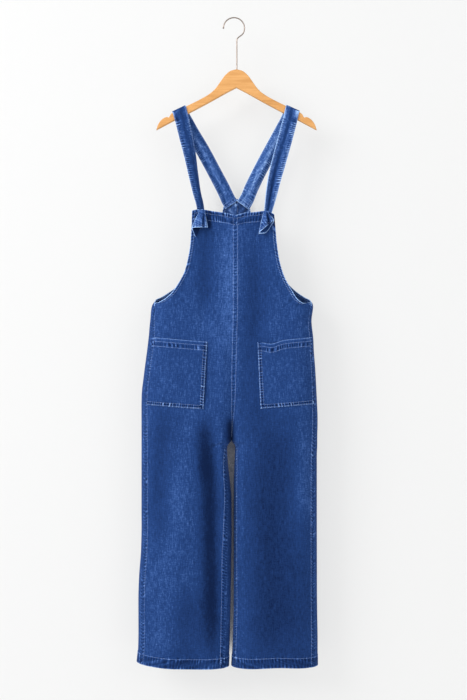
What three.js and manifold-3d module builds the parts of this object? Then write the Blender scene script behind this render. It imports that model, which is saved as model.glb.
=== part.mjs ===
// Denim dungarees hanging on a wooden hanger, in millimetres, +Z up, with the front facing -Y.
// The origin is the inside top of the hanger's wire hook, where a rail or a nail carries it.
// Left and right are the viewer's, with the garment seen from the front.
// Heights are written as drops: how far a point lies below the inside top of the hook.

import * as THREE from "three";
import { mergeVertices } from "three/addons/utils/BufferGeometryUtils.js";
import Module from "manifold-3d";

const wasm = await Module();
wasm.setup();

// Cloth
const CLOTH = 1.6; // wall of a denim panel
const SEAM_GAP = 0.3; // between two pieces that are sewn to each other
const HEM_DEPTH = 28; // turned hem at the legs and at the bib's top
const HEM_RAISE = 0.9; // the extra layers of a turned hem
const HEM_STEP = 1.5; // width of the step where a hem's raised part begins
const PANEL_COLUMNS = 16;
const SECTION_SAMPLES = 48;

// Straps
const STRAP_WIDTH = 38;
const STRAP_THICKNESS = 2.4;
const STRAP_COLUMNS = 4;
const STRAP_STEP = 18;
const SLIT = { width: 24, height: 8, drop: 517, deep: 14 };

// Hanger
const HOOK_OFFSET = 6.5; // the hanger's middle lies this far to the right of the point that carries it
const BAR_THICKNESS = 12;
const BAR_ROUND = 2.5;
const BAR_CLEARANCE = 0.7; // under the straps, whose bends are flat-sided
const WIRE_RADIUS = 1.6;
const HOOK_RADIUS = 27.4;
const STEM_X = 1;
const STEM_TOP = 56;
const STEM_DEPTH = 22; // how far the wire goes into the wood
const BORE_RADIUS = 2;
const NECK_DROP = 133.6;

const MATERIALS = {
  denim: new THREE.MeshStandardMaterial({ color: 0x31508a, roughness: 0.9, metalness: 0 }),
  wood: new THREE.MeshStandardMaterial({ color: 0xf1b16b, roughness: 0.45, metalness: 0 }),
  wire: new THREE.MeshStandardMaterial({ color: 0xc8b6aa, roughness: 0.3, metalness: 1 }),
};

// A table is written as its column names and one row for each section.
function table(columns, rows) {
  return rows.map((row) => Object.fromEntries(columns.map((name, i) => [name, row[i]])));
}

// A smooth curve through points with rising keys, which never swings past them.
function smoothCurve(keys, values) {
  const last = keys.length - 1;
  const slope = (i) => (values[i + 1] - values[i]) / (keys[i + 1] - keys[i]);
  const tangents = keys.map((_, i) => {
    if (i === 0) return slope(0);
    if (i === last) return slope(last - 1);
    const before = slope(i - 1);
    const after = slope(i);
    return before * after <= 0 ? 0 : (2 * before * after) / (before + after);
  });
  return (key) => {
    if (key <= keys[0]) return values[0];
    if (key >= keys[last]) return values[last];
    let i = 0;
    while (keys[i + 1] < key) i += 1;
    const span = keys[i + 1] - keys[i];
    const t = (key - keys[i]) / span;
    const s = 1 - t;
    return (
      values[i] * s * s * (1 + 2 * t) +
      values[i + 1] * t * t * (3 - 2 * t) +
      span * (tangents[i] * t * s * s - tangents[i + 1] * t * t * s)
    );
  };
}

// One smooth curve for each column of a table, by its drop column.
function curvesOf(rows) {
  const keys = rows.map((row) => row.drop);
  const names = Object.keys(rows[0]).filter((name) => name !== "drop");
  return Object.fromEntries(
    names.map((name) => [name, smoothCurve(keys, rows.map((row) => row[name]))]),
  );
}

const mix = (a, b, t) => a + (b - a) * t;
const clamp01 = (t) => Math.min(1, Math.max(0, t));
const smooth = (t) => clamp01(t) ** 2 * (3 - 2 * clamp01(t));
// A quarter of an ellipse: 0 at the edge, upright there, and 1 from one radius in.
const roundOver = (t) => (t >= 1 ? 1 : Math.sqrt(Math.max(0, 1 - (1 - t) ** 2)));

// How far each half of the garment reaches out from the hanger's middle, how far in its leg reaches,
// and how far its side seam and inseam lie round to the front from those edges.
const OUTLINE = {
  left: {
    sign: -1,
    curves: curvesOf(
      table(
        ["drop", "side", "inner", "sideSeam", "inseam"],
        [
          [744, 216, 13, 5, 0],
          [784, 224, 13, 8, 0],
          [836, 229, 13, 12, 0],
          [914, 239, 13, 12, 0],
          [992, 247, 13, 12, 0],
          [1096, 247, 13, 12, 0],
          [1113, 247, 24, 12, 3],
          [1136, 247, 24, 12, 6],
          [1190, 247, 18.5, 12, 10],
          [1250, 247, 13.5, 12, 13],
          [1356, 247, 13, 12, 16],
          [1408, 250, 14, 12, 17],
          [1486, 255, 15, 12, 17],
          [1616, 255, 18, 12, 17],
          [1684, 260, 20.5, 12, 17],
        ],
      ),
    ),
  },
  right: {
    sign: 1,
    curves: curvesOf(
      table(
        ["drop", "side", "inner", "sideSeam", "inseam"],
        [
          [744, 197, -13, 4, 0],
          [766, 198, -13, 5, 0],
          [785, 195, -13, 5, 0],
          [812, 198.5, -13, 6, 0],
          [862, 201, -13, 7, 0],
          [914, 205, -13, 8, 0],
          [992, 209, -13, 9, 0],
          [1044, 211, -13, 10, 0],
          [1096, 210, -13, 10, 0],
          [1109, 210, -4, 11, 2],
          [1136, 209, -4, 11, 3],
          [1190, 209, -6.5, 12, 5],
          [1250, 209, -7, 12, 5],
          [1512, 209.5, -7, 12, 5],
          [1616, 211, -9.5, 12, 5],
          [1684, 211, -12.5, 12, 5],
        ],
      ),
    ),
  },
};

// The middle seams, and how deep the garment hangs in front of and behind its side seams.
// cleft says how far the middle seam has turned in between the legs, from 0 on the belly to 1 at the crotch.
const FACES = {
  front: {
    sign: -1,
    curves: curvesOf(
      table(
        ["drop", "middle", "depth", "cleft", "round"],
        [
          [500, -3, 20, 0, 60],
          [600, -3, 24, 0, 60],
          [744, -3, 31, 0, 56],
          [836, -5, 37, 0.02, 64],
          [914, -7, 41, 0.06, 72],
          [992, -8.5, 43, 0.16, 76],
          [1034, -10, 43, 0.36, 76],
          [1066, -11.5, 42, 0.66, 76],
          [1084, -12.5, 41, 0.87, 76],
          [1096, -13, 40.5, 1, 76],
          [1200, -13, 39, 1, 76],
          [1400, -13, 37, 1, 76],
          [1684, -13, 36, 1, 76],
        ],
      ),
    ),
  },
  back: {
    sign: 1,
    curves: curvesOf(
      table(
        ["drop", "middle", "depth", "cleft", "round"],
        [
          [467, 2.6, 16, 0, 60],
          [600, 0, 22, 0, 60],
          [744, -3, 32, 0, 56],
          [836, -5, 40, 0.02, 64],
          [940, -7, 45, 0.05, 74],
          [1020, -9, 46, 0.18, 78],
          [1062, -11, 45.5, 0.5, 78],
          [1084, -12.5, 45, 0.82, 78],
          [1096, -13, 44.5, 1, 78],
          [1200, -13, 42, 1, 76],
          [1400, -13, 38.5, 1, 76],
          [1684, -13, 36, 1, 76],
        ],
      ),
    ),
  },
};
const CLEFT_WIDTH = 58; // how wide the hollow beside a middle seam is
const SIDE_STILL = 30; // folds die out over this distance from a side edge
const CLEFT_STILL = 14; // and over this one from a seam that turns in between the legs
const FOLD_FADE = 0.3; // the share of a fold's length over which it rises, and over which it dies out

// The largest folds: where each crest runs, how wide it is, and how far it stands out. Troughs are negative.
const FOLD_COLUMNS = ["face", "topX", "bottomX", "from", "to", "width", "height"];
const FOLDS = table(FOLD_COLUMNS, [
  ["front", -6, -10, 470, 900, 30, 4.5],
  ["front", -78, -84, 520, 850, 18, -4],
  ["front", 60, 54, 520, 1030, 22, -4.5],
  ["front", -34, -36, 800, 1060, 18, 4],
  ["front", 28, 26, 800, 1070, 14, -3],
  ["front", -38, -30, 1000, 1480, 14, 9],
  ["front", -64, -50, 1000, 1720, 20, -10],
  ["front", -112, -180, 1000, 1820, 32, 6],
  ["front", -184, -202, 1050, 1290, 16, -4],
  ["front", 11, 14, 1010, 1560, 13, 7],
  ["front", 104, 116, 1120, 1900, 46, -9],
  ["front", 168, 172, 1080, 1620, 24, 3.5],
  ["back", -60, -84, 560, 1010, 24, 4],
  ["back", 62, 78, 540, 1000, 22, 4.5],
  ["back", -24, -30, 640, 960, 16, -3.5],
  ["back", -52, -40, 1010, 1560, 17, 8],
  ["back", -92, -84, 1060, 1900, 22, -8],
  ["back", -168, -176, 1180, 1900, 30, 5],
  ["back", 22, 14, 1020, 1520, 15, 7],
  ["back", 62, 70, 1080, 1900, 22, -7],
  ["back", 142, 132, 1180, 1900, 30, 4.5],
]);

function foldsAt(face, x, drop) {
  let sum = 0;
  for (const fold of FOLDS) {
    if (fold.face !== face || drop <= fold.from || drop >= fold.to) continue;
    const along = (drop - fold.from) / (fold.to - fold.from);
    const across = (x - mix(fold.topX, fold.bottomX, along)) / fold.width;
    const fade = smooth(along / FOLD_FADE) * smooth((1 - along) / FOLD_FADE);
    sum += fold.height * fade * Math.exp(-across * across);
  }
  return sum;
}

// A point of the cloth's middle surface. reach runs from 0 at the middle seam or the leg's inner edge
// to 1 at the side edge, and drop is the height there.
function clothPoint(side, face, reach, drop) {
  const outline = OUTLINE[side];
  const { middle, depth, cleft, round } = FACES[face].curves;
  const turned = cleft(drop);
  const inLeg = drop > CROTCH;
  const seam = middle(drop) + outline.sign * (SEAM_GAP / 2 + (CLOTH / 2) * turned);
  const inner = inLeg ? outline.sign * outline.curves.inner(drop) : seam;
  const outer = outline.sign * (outline.curves.side(drop) - CLOTH / 2);
  const x = mix(inner, outer, reach);
  const width = Math.abs(outer - inner);
  const fromSide = (1 - reach) * width;
  const fromInner = reach * width;
  const closing = 1 - turned * (1 - roundOver(fromInner / CLEFT_WIDTH));
  const body = depth(drop) * roundOver(fromSide / round(drop)) * closing;
  const still = roundOver(fromSide / SIDE_STILL) * (1 - turned * (1 - roundOver(fromInner / CLEFT_STILL)));
  const y = FACES[face].sign * (body + foldsAt(face, x, drop) * still);
  return new THREE.Vector3(x, y, -drop);
}

// A row of the cloth's net: its drop at the middle and at the side, and how late it changes between them.
// Rows above the underarm also end at the armhole's edge, edgeX from the hanger's middle.
const BIB_ROWS = {
  left: table(
    ["middle", "side", "edgeX", "crown"],
    [
      [515.5, 503, 115, 6],
      [550, 547, 116.5, 3],
      [590, 590, 119.5, 0],
      [632, 630, 126, 0],
      [672, 665, 136, 0],
      [706, 692, 151, 0],
      [736, 715, 167, 0],
      [764, 730, 184, 0],
      [790, 739, 200, 0],
    ],
  ),
  right: table(
    ["middle", "side", "edgeX", "crown"],
    [
      [515.5, 513, 97.5, 10],
      [550, 550, 101, 5],
      [590, 590, 104.5, 0],
      [632, 632, 111, 0],
      [672, 667, 121, 0],
      [706, 691, 132, 0],
      [736, 713, 145, 0],
      [764, 730, 156, 0],
      [790, 741, 171, 0],
    ],
  ),
};
const NAPE_ROWS = {
  left: table(
    ["middle", "side", "edgeX", "crown"],
    [
      [467, 488, 34, 0],
      [494, 508, 38, 0],
      [526, 537, 48, 0],
      [560, 568, 63, 0],
      [598, 602, 83, 0],
      [636, 638, 107, 0],
      [674, 670, 132, 0],
      [710, 695, 156, 0],
      [746, 711, 178, 0],
      [784, 725, 200, 0],
      [800, 731, 211, 0],
    ],
  ),
  right: table(
    ["middle", "side", "edgeX", "crown"],
    [
      [467, 491, 36, 0],
      [494, 510, 39, 0],
      [526, 538, 47, 0],
      [560, 568, 60, 0],
      [598, 602, 78, 0],
      [636, 638, 99, 0],
      [674, 670, 120, 0],
      [710, 694, 141, 0],
      [746, 711, 160, 0],
      [784, 726, 182, 0],
      [800, 733, 193, 0],
    ],
  ),
};
// The pockets' mouths and lower edges lie along two of the rows.
const TRUNK_ROWS = table(
  ["middle", "side", "edge"],
  [
    [815, 741, ""],
    [832, 788, ""],
    [849, 830, "mouth"],
    [885, 866, ""],
    [920, 902, ""],
    [954, 937, ""],
    [987, 970, ""],
    [1018, 1001, "pocketBottom"],
    [1042, 1034, ""],
    [1062, 1060, ""],
    [1084, 1084, ""],
    [1096, 1096, ""],
  ],
);
const CROTCH = 1096; // the middle seams end here and the inseams begin
const LEG_ROWS = [1110, 1134, 1165, 1200, 1240, 1285, 1335, 1390, 1445, 1500, 1555, 1605];
const LEG_ENDS = { left: { inner: 1682, side: 1671 }, right: { inner: 1681, side: 1680 } };
const LEG_BOW = 3; // the hem rises only near the side seam

// Every row of one panel, from its top edge to its hem.
function rowsOf(side, face) {
  const top = (face === "front" ? BIB_ROWS : NAPE_ROWS)[side].map((row) => ({ ...row, bow: 1 }));
  const trunk = TRUNK_ROWS.map((row) => ({ ...row, bow: 1 }));
  const leg = LEG_ROWS.map((drop) => ({ middle: drop, side: drop, bow: 1 }));
  const end = LEG_ENDS[side];
  const hem = [HEM_DEPTH + HEM_STEP, HEM_DEPTH, 0].map((up, i) => ({
    middle: end.inner - up,
    side: end.side - up,
    bow: LEG_BOW,
    raise: i > 0 ? HEM_RAISE : 0,
  }));
  const rows = [...top, ...trunk, ...leg, ...hem];
  if (face === "front") {
    const turnUp = [HEM_DEPTH, HEM_DEPTH + HEM_STEP].map((down, i) => ({
      ...rows[0],
      middle: rows[0].middle + down,
      side: rows[0].side + down,
      edgeX: mix(rows[0].edgeX, rows[1].edgeX, 0.7),
      raise: i === 0 ? HEM_RAISE : 0,
    }));
    rows[0].raise = HEM_RAISE;
    rows.splice(1, 0, ...turnUp);
  }
  return rows;
}

// How a top edge rises between its ends, by the share of its width.
const CROWN = table(
  ["share", "rise"],
  [
    [0, 0],
    [0.25, 0.62],
    [0.5, 0.76],
    [0.75, 1],
    [0.88, 0.75],
    [1, 0],
  ],
);
const crownAt = smoothCurve(CROWN.map((row) => row.share), CROWN.map((row) => row.rise));

// The drop along a row: even, bowed towards the side, and crowned between the ends at a top edge.
function dropAt(row, share) {
  return mix(row.middle, row.side, share ** row.bow) - (row.crown || 0) * crownAt(share);
}

// The points of a panel along one row: a list of [face, reach] steps turned into a line.
function rowLine(side, face, row) {
  const outline = OUTLINE[side];
  const at = (onFace, reach) => clothPoint(side, onFace, reach, dropAt(row, Math.min(1, reach / stop)));
  const spread = (t) => (1 - Math.cos(Math.PI * t)) / 2;
  const ends = { middle: FACES[face].curves.middle(row.middle), side: outline.curves.side(row.side) };
  const inner = row.middle > CROTCH ? outline.curves.inner(row.middle) : outline.sign * ends.middle;
  const width = ends.side - inner;
  const stop = row.edgeX ? (row.edgeX - inner) / width : 1;
  const sideSeam = 1 - outline.curves.sideSeam(row.side) / width;
  const inseam = row.middle > CROTCH ? outline.curves.inseam(row.middle) / width : 0;
  const points = [];
  const run = (onFace, from, to) => {
    for (let i = 0; i <= SECTION_SAMPLES; i += 1)
      points.push(at(onFace, mix(from, to, spread(i / SECTION_SAMPLES))));
  };
  if (row.edgeX) run(face, 0, stop);
  else if (face === "front") run("front", inseam, sideSeam);
  else {
    if (inseam > 0) run("front", inseam, 0);
    run("back", 0, 1);
    run("front", 1, sideSeam);
  }
  return points;
}

// Evenly spaced points along a line, with the line's direction at each. The ends are drawn in by trim.
function spacedAlong(points, count, trimStart, trimEnd) {
  const lengths = [0];
  for (let i = 1; i < points.length; i += 1)
    lengths.push(lengths[i - 1] + points[i].distanceTo(points[i - 1]));
  const total = lengths[lengths.length - 1];
  const pointAt = (length) => {
    let i = 1;
    while (i < lengths.length - 1 && lengths[i] < length) i += 1;
    const t = (length - lengths[i - 1]) / (lengths[i] - lengths[i - 1] || 1);
    return points[i - 1].clone().lerp(points[i], t);
  };
  const probe = 1.5;
  return Array.from({ length: count + 1 }, (_, i) => {
    const length = mix(trimStart, total - trimEnd, i / count);
    const before = pointAt(Math.max(0, length - probe));
    const after = pointAt(Math.min(total, length + probe));
    return { point: pointAt(length), along: after.sub(before).normalize() };
  });
}

// Turns a net of middle points with outward normals into a closed wall.
function wallOf(net, outerOffset, innerOffset) {
  const rows = net.length;
  const columns = net[0].length;
  const positions = [];
  const place = (offset) =>
    net.forEach((line, r) =>
      line.forEach(({ point, normal, limit }, c) => {
        const moved = point.clone().addScaledVector(normal, offset(r, c));
        if (limit) moved.x = limit.sign < 0 ? Math.min(moved.x, limit.x) : Math.max(moved.x, limit.x);
        positions.push(moved.x, moved.y, moved.z);
      }),
    );
  place(outerOffset);
  place((r, c) => -innerOffset(r, c));
  const outer = (r, c) => r * columns + c;
  const inner = (r, c) => rows * columns + r * columns + c;
  const faces = [];
  const quad = (a, b, c, d) => faces.push(a, b, c, a, c, d);
  for (let r = 0; r < rows - 1; r += 1)
    for (let c = 0; c < columns - 1; c += 1) {
      quad(outer(r, c), outer(r + 1, c), outer(r + 1, c + 1), outer(r, c + 1));
      quad(inner(r, c), inner(r, c + 1), inner(r + 1, c + 1), inner(r + 1, c));
    }
  for (let r = 0; r < rows - 1; r += 1) {
    quad(outer(r, 0), inner(r, 0), inner(r + 1, 0), outer(r + 1, 0));
    quad(outer(r, columns - 1), outer(r + 1, columns - 1), inner(r + 1, columns - 1), inner(r, columns - 1));
  }
  for (let c = 0; c < columns - 1; c += 1) {
    quad(outer(0, c), outer(0, c + 1), inner(0, c + 1), inner(0, c));
    quad(outer(rows - 1, c), inner(rows - 1, c), inner(rows - 1, c + 1), outer(rows - 1, c + 1));
  }
  return closed(positions, faces);
}

// A geometry whose faces point out, whichever way round its list of faces was made.
function closed(positions, faces) {
  let volume = 0;
  const corner = (i) => new THREE.Vector3(...positions.slice(3 * i, 3 * i + 3));
  for (let i = 0; i < faces.length; i += 3)
    volume += corner(faces[i]).dot(corner(faces[i + 1]).cross(corner(faces[i + 2])));
  const turned = [];
  for (let i = 0; i < faces.length; i += 3)
    turned.push(faces[i], ...(volume < 0 ? [faces[i + 2], faces[i + 1]] : [faces[i + 1], faces[i + 2]]));
  return new THREE.BufferGeometry()
    .setAttribute("position", new THREE.Float32BufferAttribute(positions, 3))
    .setIndex(turned);
}

function solidOf(geometry) {
  const bare = geometry.clone();
  bare.deleteAttribute("normal");
  bare.deleteAttribute("uv");
  const merged = mergeVertices(bare, 1e-4);
  return new wasm.Manifold(
    new wasm.Mesh({
      numProp: 3,
      vertProperties: new Float32Array(merged.attributes.position.array),
      triVerts: new Uint32Array(merged.index.array),
    }),
  );
}

function cut(geometry, ...tools) {
  let solid = solidOf(geometry);
  for (const tool of tools) solid = solid.subtract(solidOf(tool));
  const mesh = solid.getMesh();
  return new THREE.BufferGeometry()
    .setAttribute("position", new THREE.Float32BufferAttribute(mesh.vertProperties, 3))
    .setIndex(Array.from(mesh.triVerts));
}

// The middle surface of one panel, from the bib's top or the nape to the leg's hem, as a net.
function panelNet(side, face) {
  const outline = OUTLINE[side];
  const rows = rowsOf(side, face);
  const trim = SEAM_GAP / 2;
  const lines = rows.map((row) => {
    const startTrim = row.middle >= CROTCH ? trim : 0;
    return spacedAlong(rowLine(side, face, row), PANEL_COLUMNS, startTrim, row.edgeX ? 0 : trim);
  });
  const net = lines.map((line, r) =>
    line.map(({ point, along }, c) => {
      const above = lines[Math.max(0, r - 1)][c].point;
      const below = lines[Math.min(lines.length - 1, r + 1)][c].point;
      const normal = above.clone().sub(below).cross(along).normalize();
      normal.multiplyScalar(outline.sign * FACES[face].sign);
      const seam = FACES[face].curves.middle(-point.z) + outline.sign * trim;
      const limit = c === 0 && -point.z <= CROTCH + 1 ? { x: seam, sign: outline.sign } : null;
      return { point, normal, limit };
    }),
  );
  return { rows, net };
}

function panel(side, face) {
  const { rows, net } = panelNet(side, face);
  return wallOf(net, (r) => CLOTH / 2 + (rows[r].raise || 0), () => CLOTH / 2);
}

// Patch pockets lie on the front panels, from the side seam inwards, with a turned band at the mouth.
const POCKET_GAP = 0.3;
const POCKET_BAND = 24;
const POCKET_EDGES = { left: { top: 75.5, bottom: 85 }, right: { top: 54, bottom: 61.5 } };
// The right pocket's mouth stands away from the panel in one place.
const GAPE = { side: "right", x: 90, width: 20, out: 3.4, sag: 7, fade: 55 };

// A point between a net's rows and columns, on the flat stretch that it has there.
function netPoint(net, row, column) {
  const r = Math.min(net.length - 2, Math.floor(row));
  const c = Math.min(net[0].length - 2, Math.floor(column));
  const blend = (name) => {
    const upper = net[r][c][name].clone().lerp(net[r][c + 1][name], column - c);
    const lower = net[r + 1][c][name].clone().lerp(net[r + 1][c + 1][name], column - c);
    return upper.lerp(lower, row - r);
  };
  return { point: blend("point"), normal: blend("normal").normalize() };
}

// The column at which a row of the net passes the given distance from the hanger's middle.
function columnAt(net, row, distance) {
  for (let c = 0; c < net[0].length - 1; c += 1) {
    const here = Math.abs(netPoint(net, row, c).point.x);
    const next = Math.abs(netPoint(net, row, c + 1).point.x);
    if (next >= distance) return c + (distance - here) / (next - here);
  }
  return net[0].length - 1;
}

function pocket(side) {
  const { rows, net } = panelNet(side, "front");
  const top = rows.findIndex((row) => row.edge === "mouth");
  const bottom = rows.findIndex((row) => row.edge === "pocketBottom");
  const spacing = rows[top + 1].middle - rows[top].middle;
  const bandRows = [0, POCKET_BAND, POCKET_BAND + HEM_STEP].map((down) => top + down / spacing);
  const plainRows = Array.from({ length: bottom - top }, (_, i) => top + 1 + i);
  const edges = POCKET_EDGES[side];
  const firstColumn = Math.ceil(columnAt(net, bottom, edges.bottom));
  const beside = 0.06;
  const pocketNet = [...bandRows, ...plainRows].map((row) => {
    const down = (row - top) / (bottom - top);
    const edge = columnAt(net, row, mix(edges.top, edges.bottom, down));
    const columns = [edge];
    for (let c = firstColumn; c < PANEL_COLUMNS; c += 1) columns.push(c);
    columns.push(PANEL_COLUMNS - beside);
    return columns.map((column) => {
      const x = Math.abs(netPoint(net, row, column).point.x);
      const near = side === GAPE.side ? Math.exp(-(((x - GAPE.x) / GAPE.width) ** 2)) : 0;
      const fade = Math.max(0, 1 - ((row - top) * spacing) / GAPE.fade);
      const sag = (GAPE.sag * near * fade) / spacing;
      return { ...netPoint(net, row + sag * fade, column), out: GAPE.out * near * fade };
    });
  });
  const base = (r, c) => CLOTH / 2 + POCKET_GAP + pocketNet[r][c].out;
  const band = (r) => (r < 2 ? HEM_RAISE : 0);
  return wallOf(pocketNet, (r, c) => base(r, c) + CLOTH + band(r), (r, c) => -base(r, c));
}

// Half of the bar's outline, from its neck over the shoulder and the notch to the tip, and back below.
const BAR_UPPER = table(
  ["x", "drop"],
  [
    [0, 133.6],
    [14, 137],
    [29, 148.5],
    [42, 166],
    [55, 184],
    [71, 198],
    [95, 212],
    [128, 228.5],
    [170, 249.5],
  ],
);
const BAR_TIP = table(
  ["x", "drop"],
  [
    [176, 258.5],
    [181, 257.5],
    [190, 261],
    [198, 268.5],
    [204, 278],
    [208, 289.5],
  ],
);
const BAR_SAMPLES = 20;
const BAR_LOWER = table(
  ["x", "drop"],
  [
    [163, 267],
    [120, 245.5],
    [70, 219],
    [28, 195.5],
    [0, 181],
  ],
);

// Where each strap crosses the bar, and the way it takes down the front and down the back.
// curl is the angle, in degrees, that the strap's width is bowed through. Where it is positive, the strap's
// edges bend back.
const STRAP_COLUMN_NAMES = ["x", "y", "drop", "tilt", "width", "thick", "curl"];
const STRAPS = {
  left: {
    crossing: -149,
    front: table(STRAP_COLUMN_NAMES, [
      [-93, -22, 517.2, 0, 19, 3.4, 0],
      [-93, -18.4, 516.6, 0, 19, 3.4, 0],
      [-93, -15.8, 511, 0, 18.5, 3.4, 20],
      [-93.5, -14.4, 498, 4, 18, 3.4, 60],
      [-104, -13.6, 452, 10, 20, 3.2, 110],
      [-112, -12.8, 410, 12, 24, 2.8, 100],
      [-122, -11.6, 352, 14, 31, 2.4, 60],
      [-131, -10.2, 310, 16, 35, 2.4, 35],
      [-141.5, -8.4, 264, 22, 37, 2.4, 14],
    ]),
    back: table(STRAP_COLUMN_NAMES, [
      [-132, 8.2, 268, 28, 38, 2.4, -8],
      [-119, 9.4, 290, 29, 37, 2.4, -22],
      [-90, 12, 337, 30, 36, 2.4, -40],
      [-57, 14, 398, 31, 36, 2.4, -30],
      [-35, 15.2, 440, 33, 37, 2.4, -14],
      [-18.2, 15.9, 476, 36, 38.5, 2.4, 0],
    ]),
  },
  right: {
    crossing: 146,
    front: table(STRAP_COLUMN_NAMES, [
      [80, -22, 517.2, 0, 19, 3.4, 0],
      [80, -18.4, 516.6, 0, 19, 3.4, 0],
      [80.5, -15, 511, 0, 19.5, 3.4, -10],
      [83, -12, 498, -6, 22, 3.4, -50],
      [91.5, -12.6, 453, -12, 30, 3, -80],
      [98.5, -12.4, 419, -13, 34, 2.6, -66],
      [108, -11.6, 382, -15, 37, 2.4, -44],
      [127, -10, 312, -18, 38, 2.4, -22],
      [138.5, -8.4, 268, -23, 38, 2.4, -10],
    ]),
    back: table(STRAP_COLUMN_NAMES, [
      [130, 8.2, 270, -28, 38, 2.4, -8],
      [116, 9.4, 294, -29, 37, 2.4, -20],
      [89, 12, 342, -30, 36, 2.4, -34],
      [62, 13.8, 392, -31, 36, 2.4, -30],
      [40.5, 15.2, 436, -33, 37, 2.4, -14],
      [22.6, 15.9, 477, -36, 38.5, 2.4, 0],
    ]),
  },
};

const barTop = smoothCurve(BAR_UPPER.map((row) => row.x), BAR_UPPER.map((row) => row.drop));

// The rounded way over the bar: flat on top, with a round at each edge of the wood.
function overBar(x) {
  const reach = STRAP_WIDTH / 2 - 2;
  const fall = barTop(Math.abs(x) + reach) - barTop(Math.abs(x) - reach);
  const angle = -Math.sign(x) * Math.atan(fall / (2 * reach));
  const tilt = THREE.MathUtils.radToDeg(angle);
  const up = new THREE.Vector3(-Math.sin(angle), 0, Math.cos(angle));
  const centre = new THREE.Vector3(x, 0, -barTop(Math.abs(x)));
  const flat = BAR_THICKNESS / 2 - BAR_ROUND;
  const radius = BAR_ROUND + BAR_CLEARANCE + STRAP_THICKNESS / 2;
  const turn = [180, 150, 120, 90];
  const bend = (y, degrees) => {
    const a = THREE.MathUtils.degToRad(degrees);
    return centre
      .clone()
      .add(new THREE.Vector3(0, y + radius * Math.cos(a), 0))
      .addScaledVector(up, radius * Math.sin(a) - BAR_ROUND);
  };
  const front = turn.map((degrees) => bend(-flat, degrees));
  const back = turn.map((degrees) => bend(flat, 180 - degrees)).reverse();
  return [...front, ...back].map((point) => ({
    point,
    tilt,
    width: STRAP_WIDTH,
    thick: STRAP_THICKNESS,
    curl: 0,
  }));
}

// Sections between the table's rows, on a smooth line through them.
function strapStations(rows) {
  const line = new THREE.CatmullRomCurve3(
    rows.map(({ x, y, drop }) => new THREE.Vector3(x, y, -drop)),
    false,
    "centripetal",
  );
  const stations = [];
  for (let i = 0; i < rows.length - 1; i += 1) {
    const from = rows[i];
    const to = rows[i + 1];
    const span = Math.hypot(to.x - from.x, to.drop - from.drop, to.y - from.y);
    const steps = Math.max(1, Math.round(span / STRAP_STEP));
    for (let k = 0; k < steps; k += 1) {
      const t = k / steps;
      const column = (name) => mix(from[name], to[name], smooth(t));
      stations.push({
        point: line.getPoint((i + t) / (rows.length - 1)),
        tilt: column("tilt"),
        width: column("width"),
        thick: column("thick"),
        curl: column("curl"),
      });
    }
  }
  const end = rows[rows.length - 1];
  stations.push({ ...end, point: new THREE.Vector3(end.x, end.y, -end.drop) });
  return stations;
}

// A strap is one band, swept from the slit in the bib over the bar to the nape.
function strap(side) {
  const { crossing, front, back } = STRAPS[side];
  const stations = [...strapStations(front), ...overBar(crossing), ...strapStations(back)];
  const net = stations.map((station, i) => {
    const before = stations[Math.max(0, i - 1)].point;
    const after = stations[Math.min(stations.length - 1, i + 1)].point;
    const tangent = after.clone().sub(before).normalize();
    const tilt = THREE.MathUtils.degToRad(station.tilt);
    const across = new THREE.Vector3(Math.cos(tilt), 0, Math.sin(tilt));
    const normal = across.clone().cross(tangent).normalize();
    const bow = THREE.MathUtils.degToRad(Math.abs(station.curl)) + 1e-3;
    const radius = station.width / 2 / Math.sin(bow / 2);
    return Array.from({ length: STRAP_COLUMNS + 1 }, (_, c) => {
      const angle = bow * (c / STRAP_COLUMNS - 0.5);
      const sideways = radius * Math.sin(angle);
      const sunk = -Math.sign(station.curl || 1) * radius * (1 - Math.cos(angle));
      return {
        point: station.point.clone().addScaledVector(across, sideways).addScaledVector(normal, sunk),
        normal,
      };
    });
  });
  const half = (r) => stations[r].thick / 2;
  return wallOf(net, half, half);
}

// The strap's end hangs in front of the slit as an open tube that spreads out to its mouth.
const END_COLUMNS = ["x", "drop", "width", "depth", "lean"];
// Its rear layer hangs lower in a point, and its front is pressed in along a pleat.
const STRAP_ENDS = {
  left: {
    rear: { longer: 22, at: -0.5, width: 0.4 },
    pleat: { deep: 3.5, at: 0.5, width: 0.2 },
    rings: table(END_COLUMNS, [
      [-90, 505, 14, 5, 0],
      [-90.5, 512, 19, 7, 0],
      [-91.5, 520, 25, 10, 0],
      [-92.5, 530, 31, 13, 0.02],
      [-93.8, 540, 37, 16, 0.04],
      [-94.6, 548.5, 41, 18, 0.04],
    ]),
  },
  right: {
    rear: { longer: 13, at: 0, width: 0.8 },
    pleat: { deep: 9, at: 0.36, width: 0.24 },
    rings: table(END_COLUMNS, [
      [77, 505, 13, 5, 0],
      [77, 512, 18, 7, 0.05],
      [77, 520, 23, 10, 0.25],
      [77, 528, 29, 13, 0.5],
      [77, 537, 35, 16, 0.72],
      [77, 545, 40, 18, 0.85],
    ]),
  },
};
const END_SIDES = 22;
const END_WALL = 1.5;
const REAR_FROM = 0.55; // the share of the end's length at which its rear layer begins to hang lower

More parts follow.
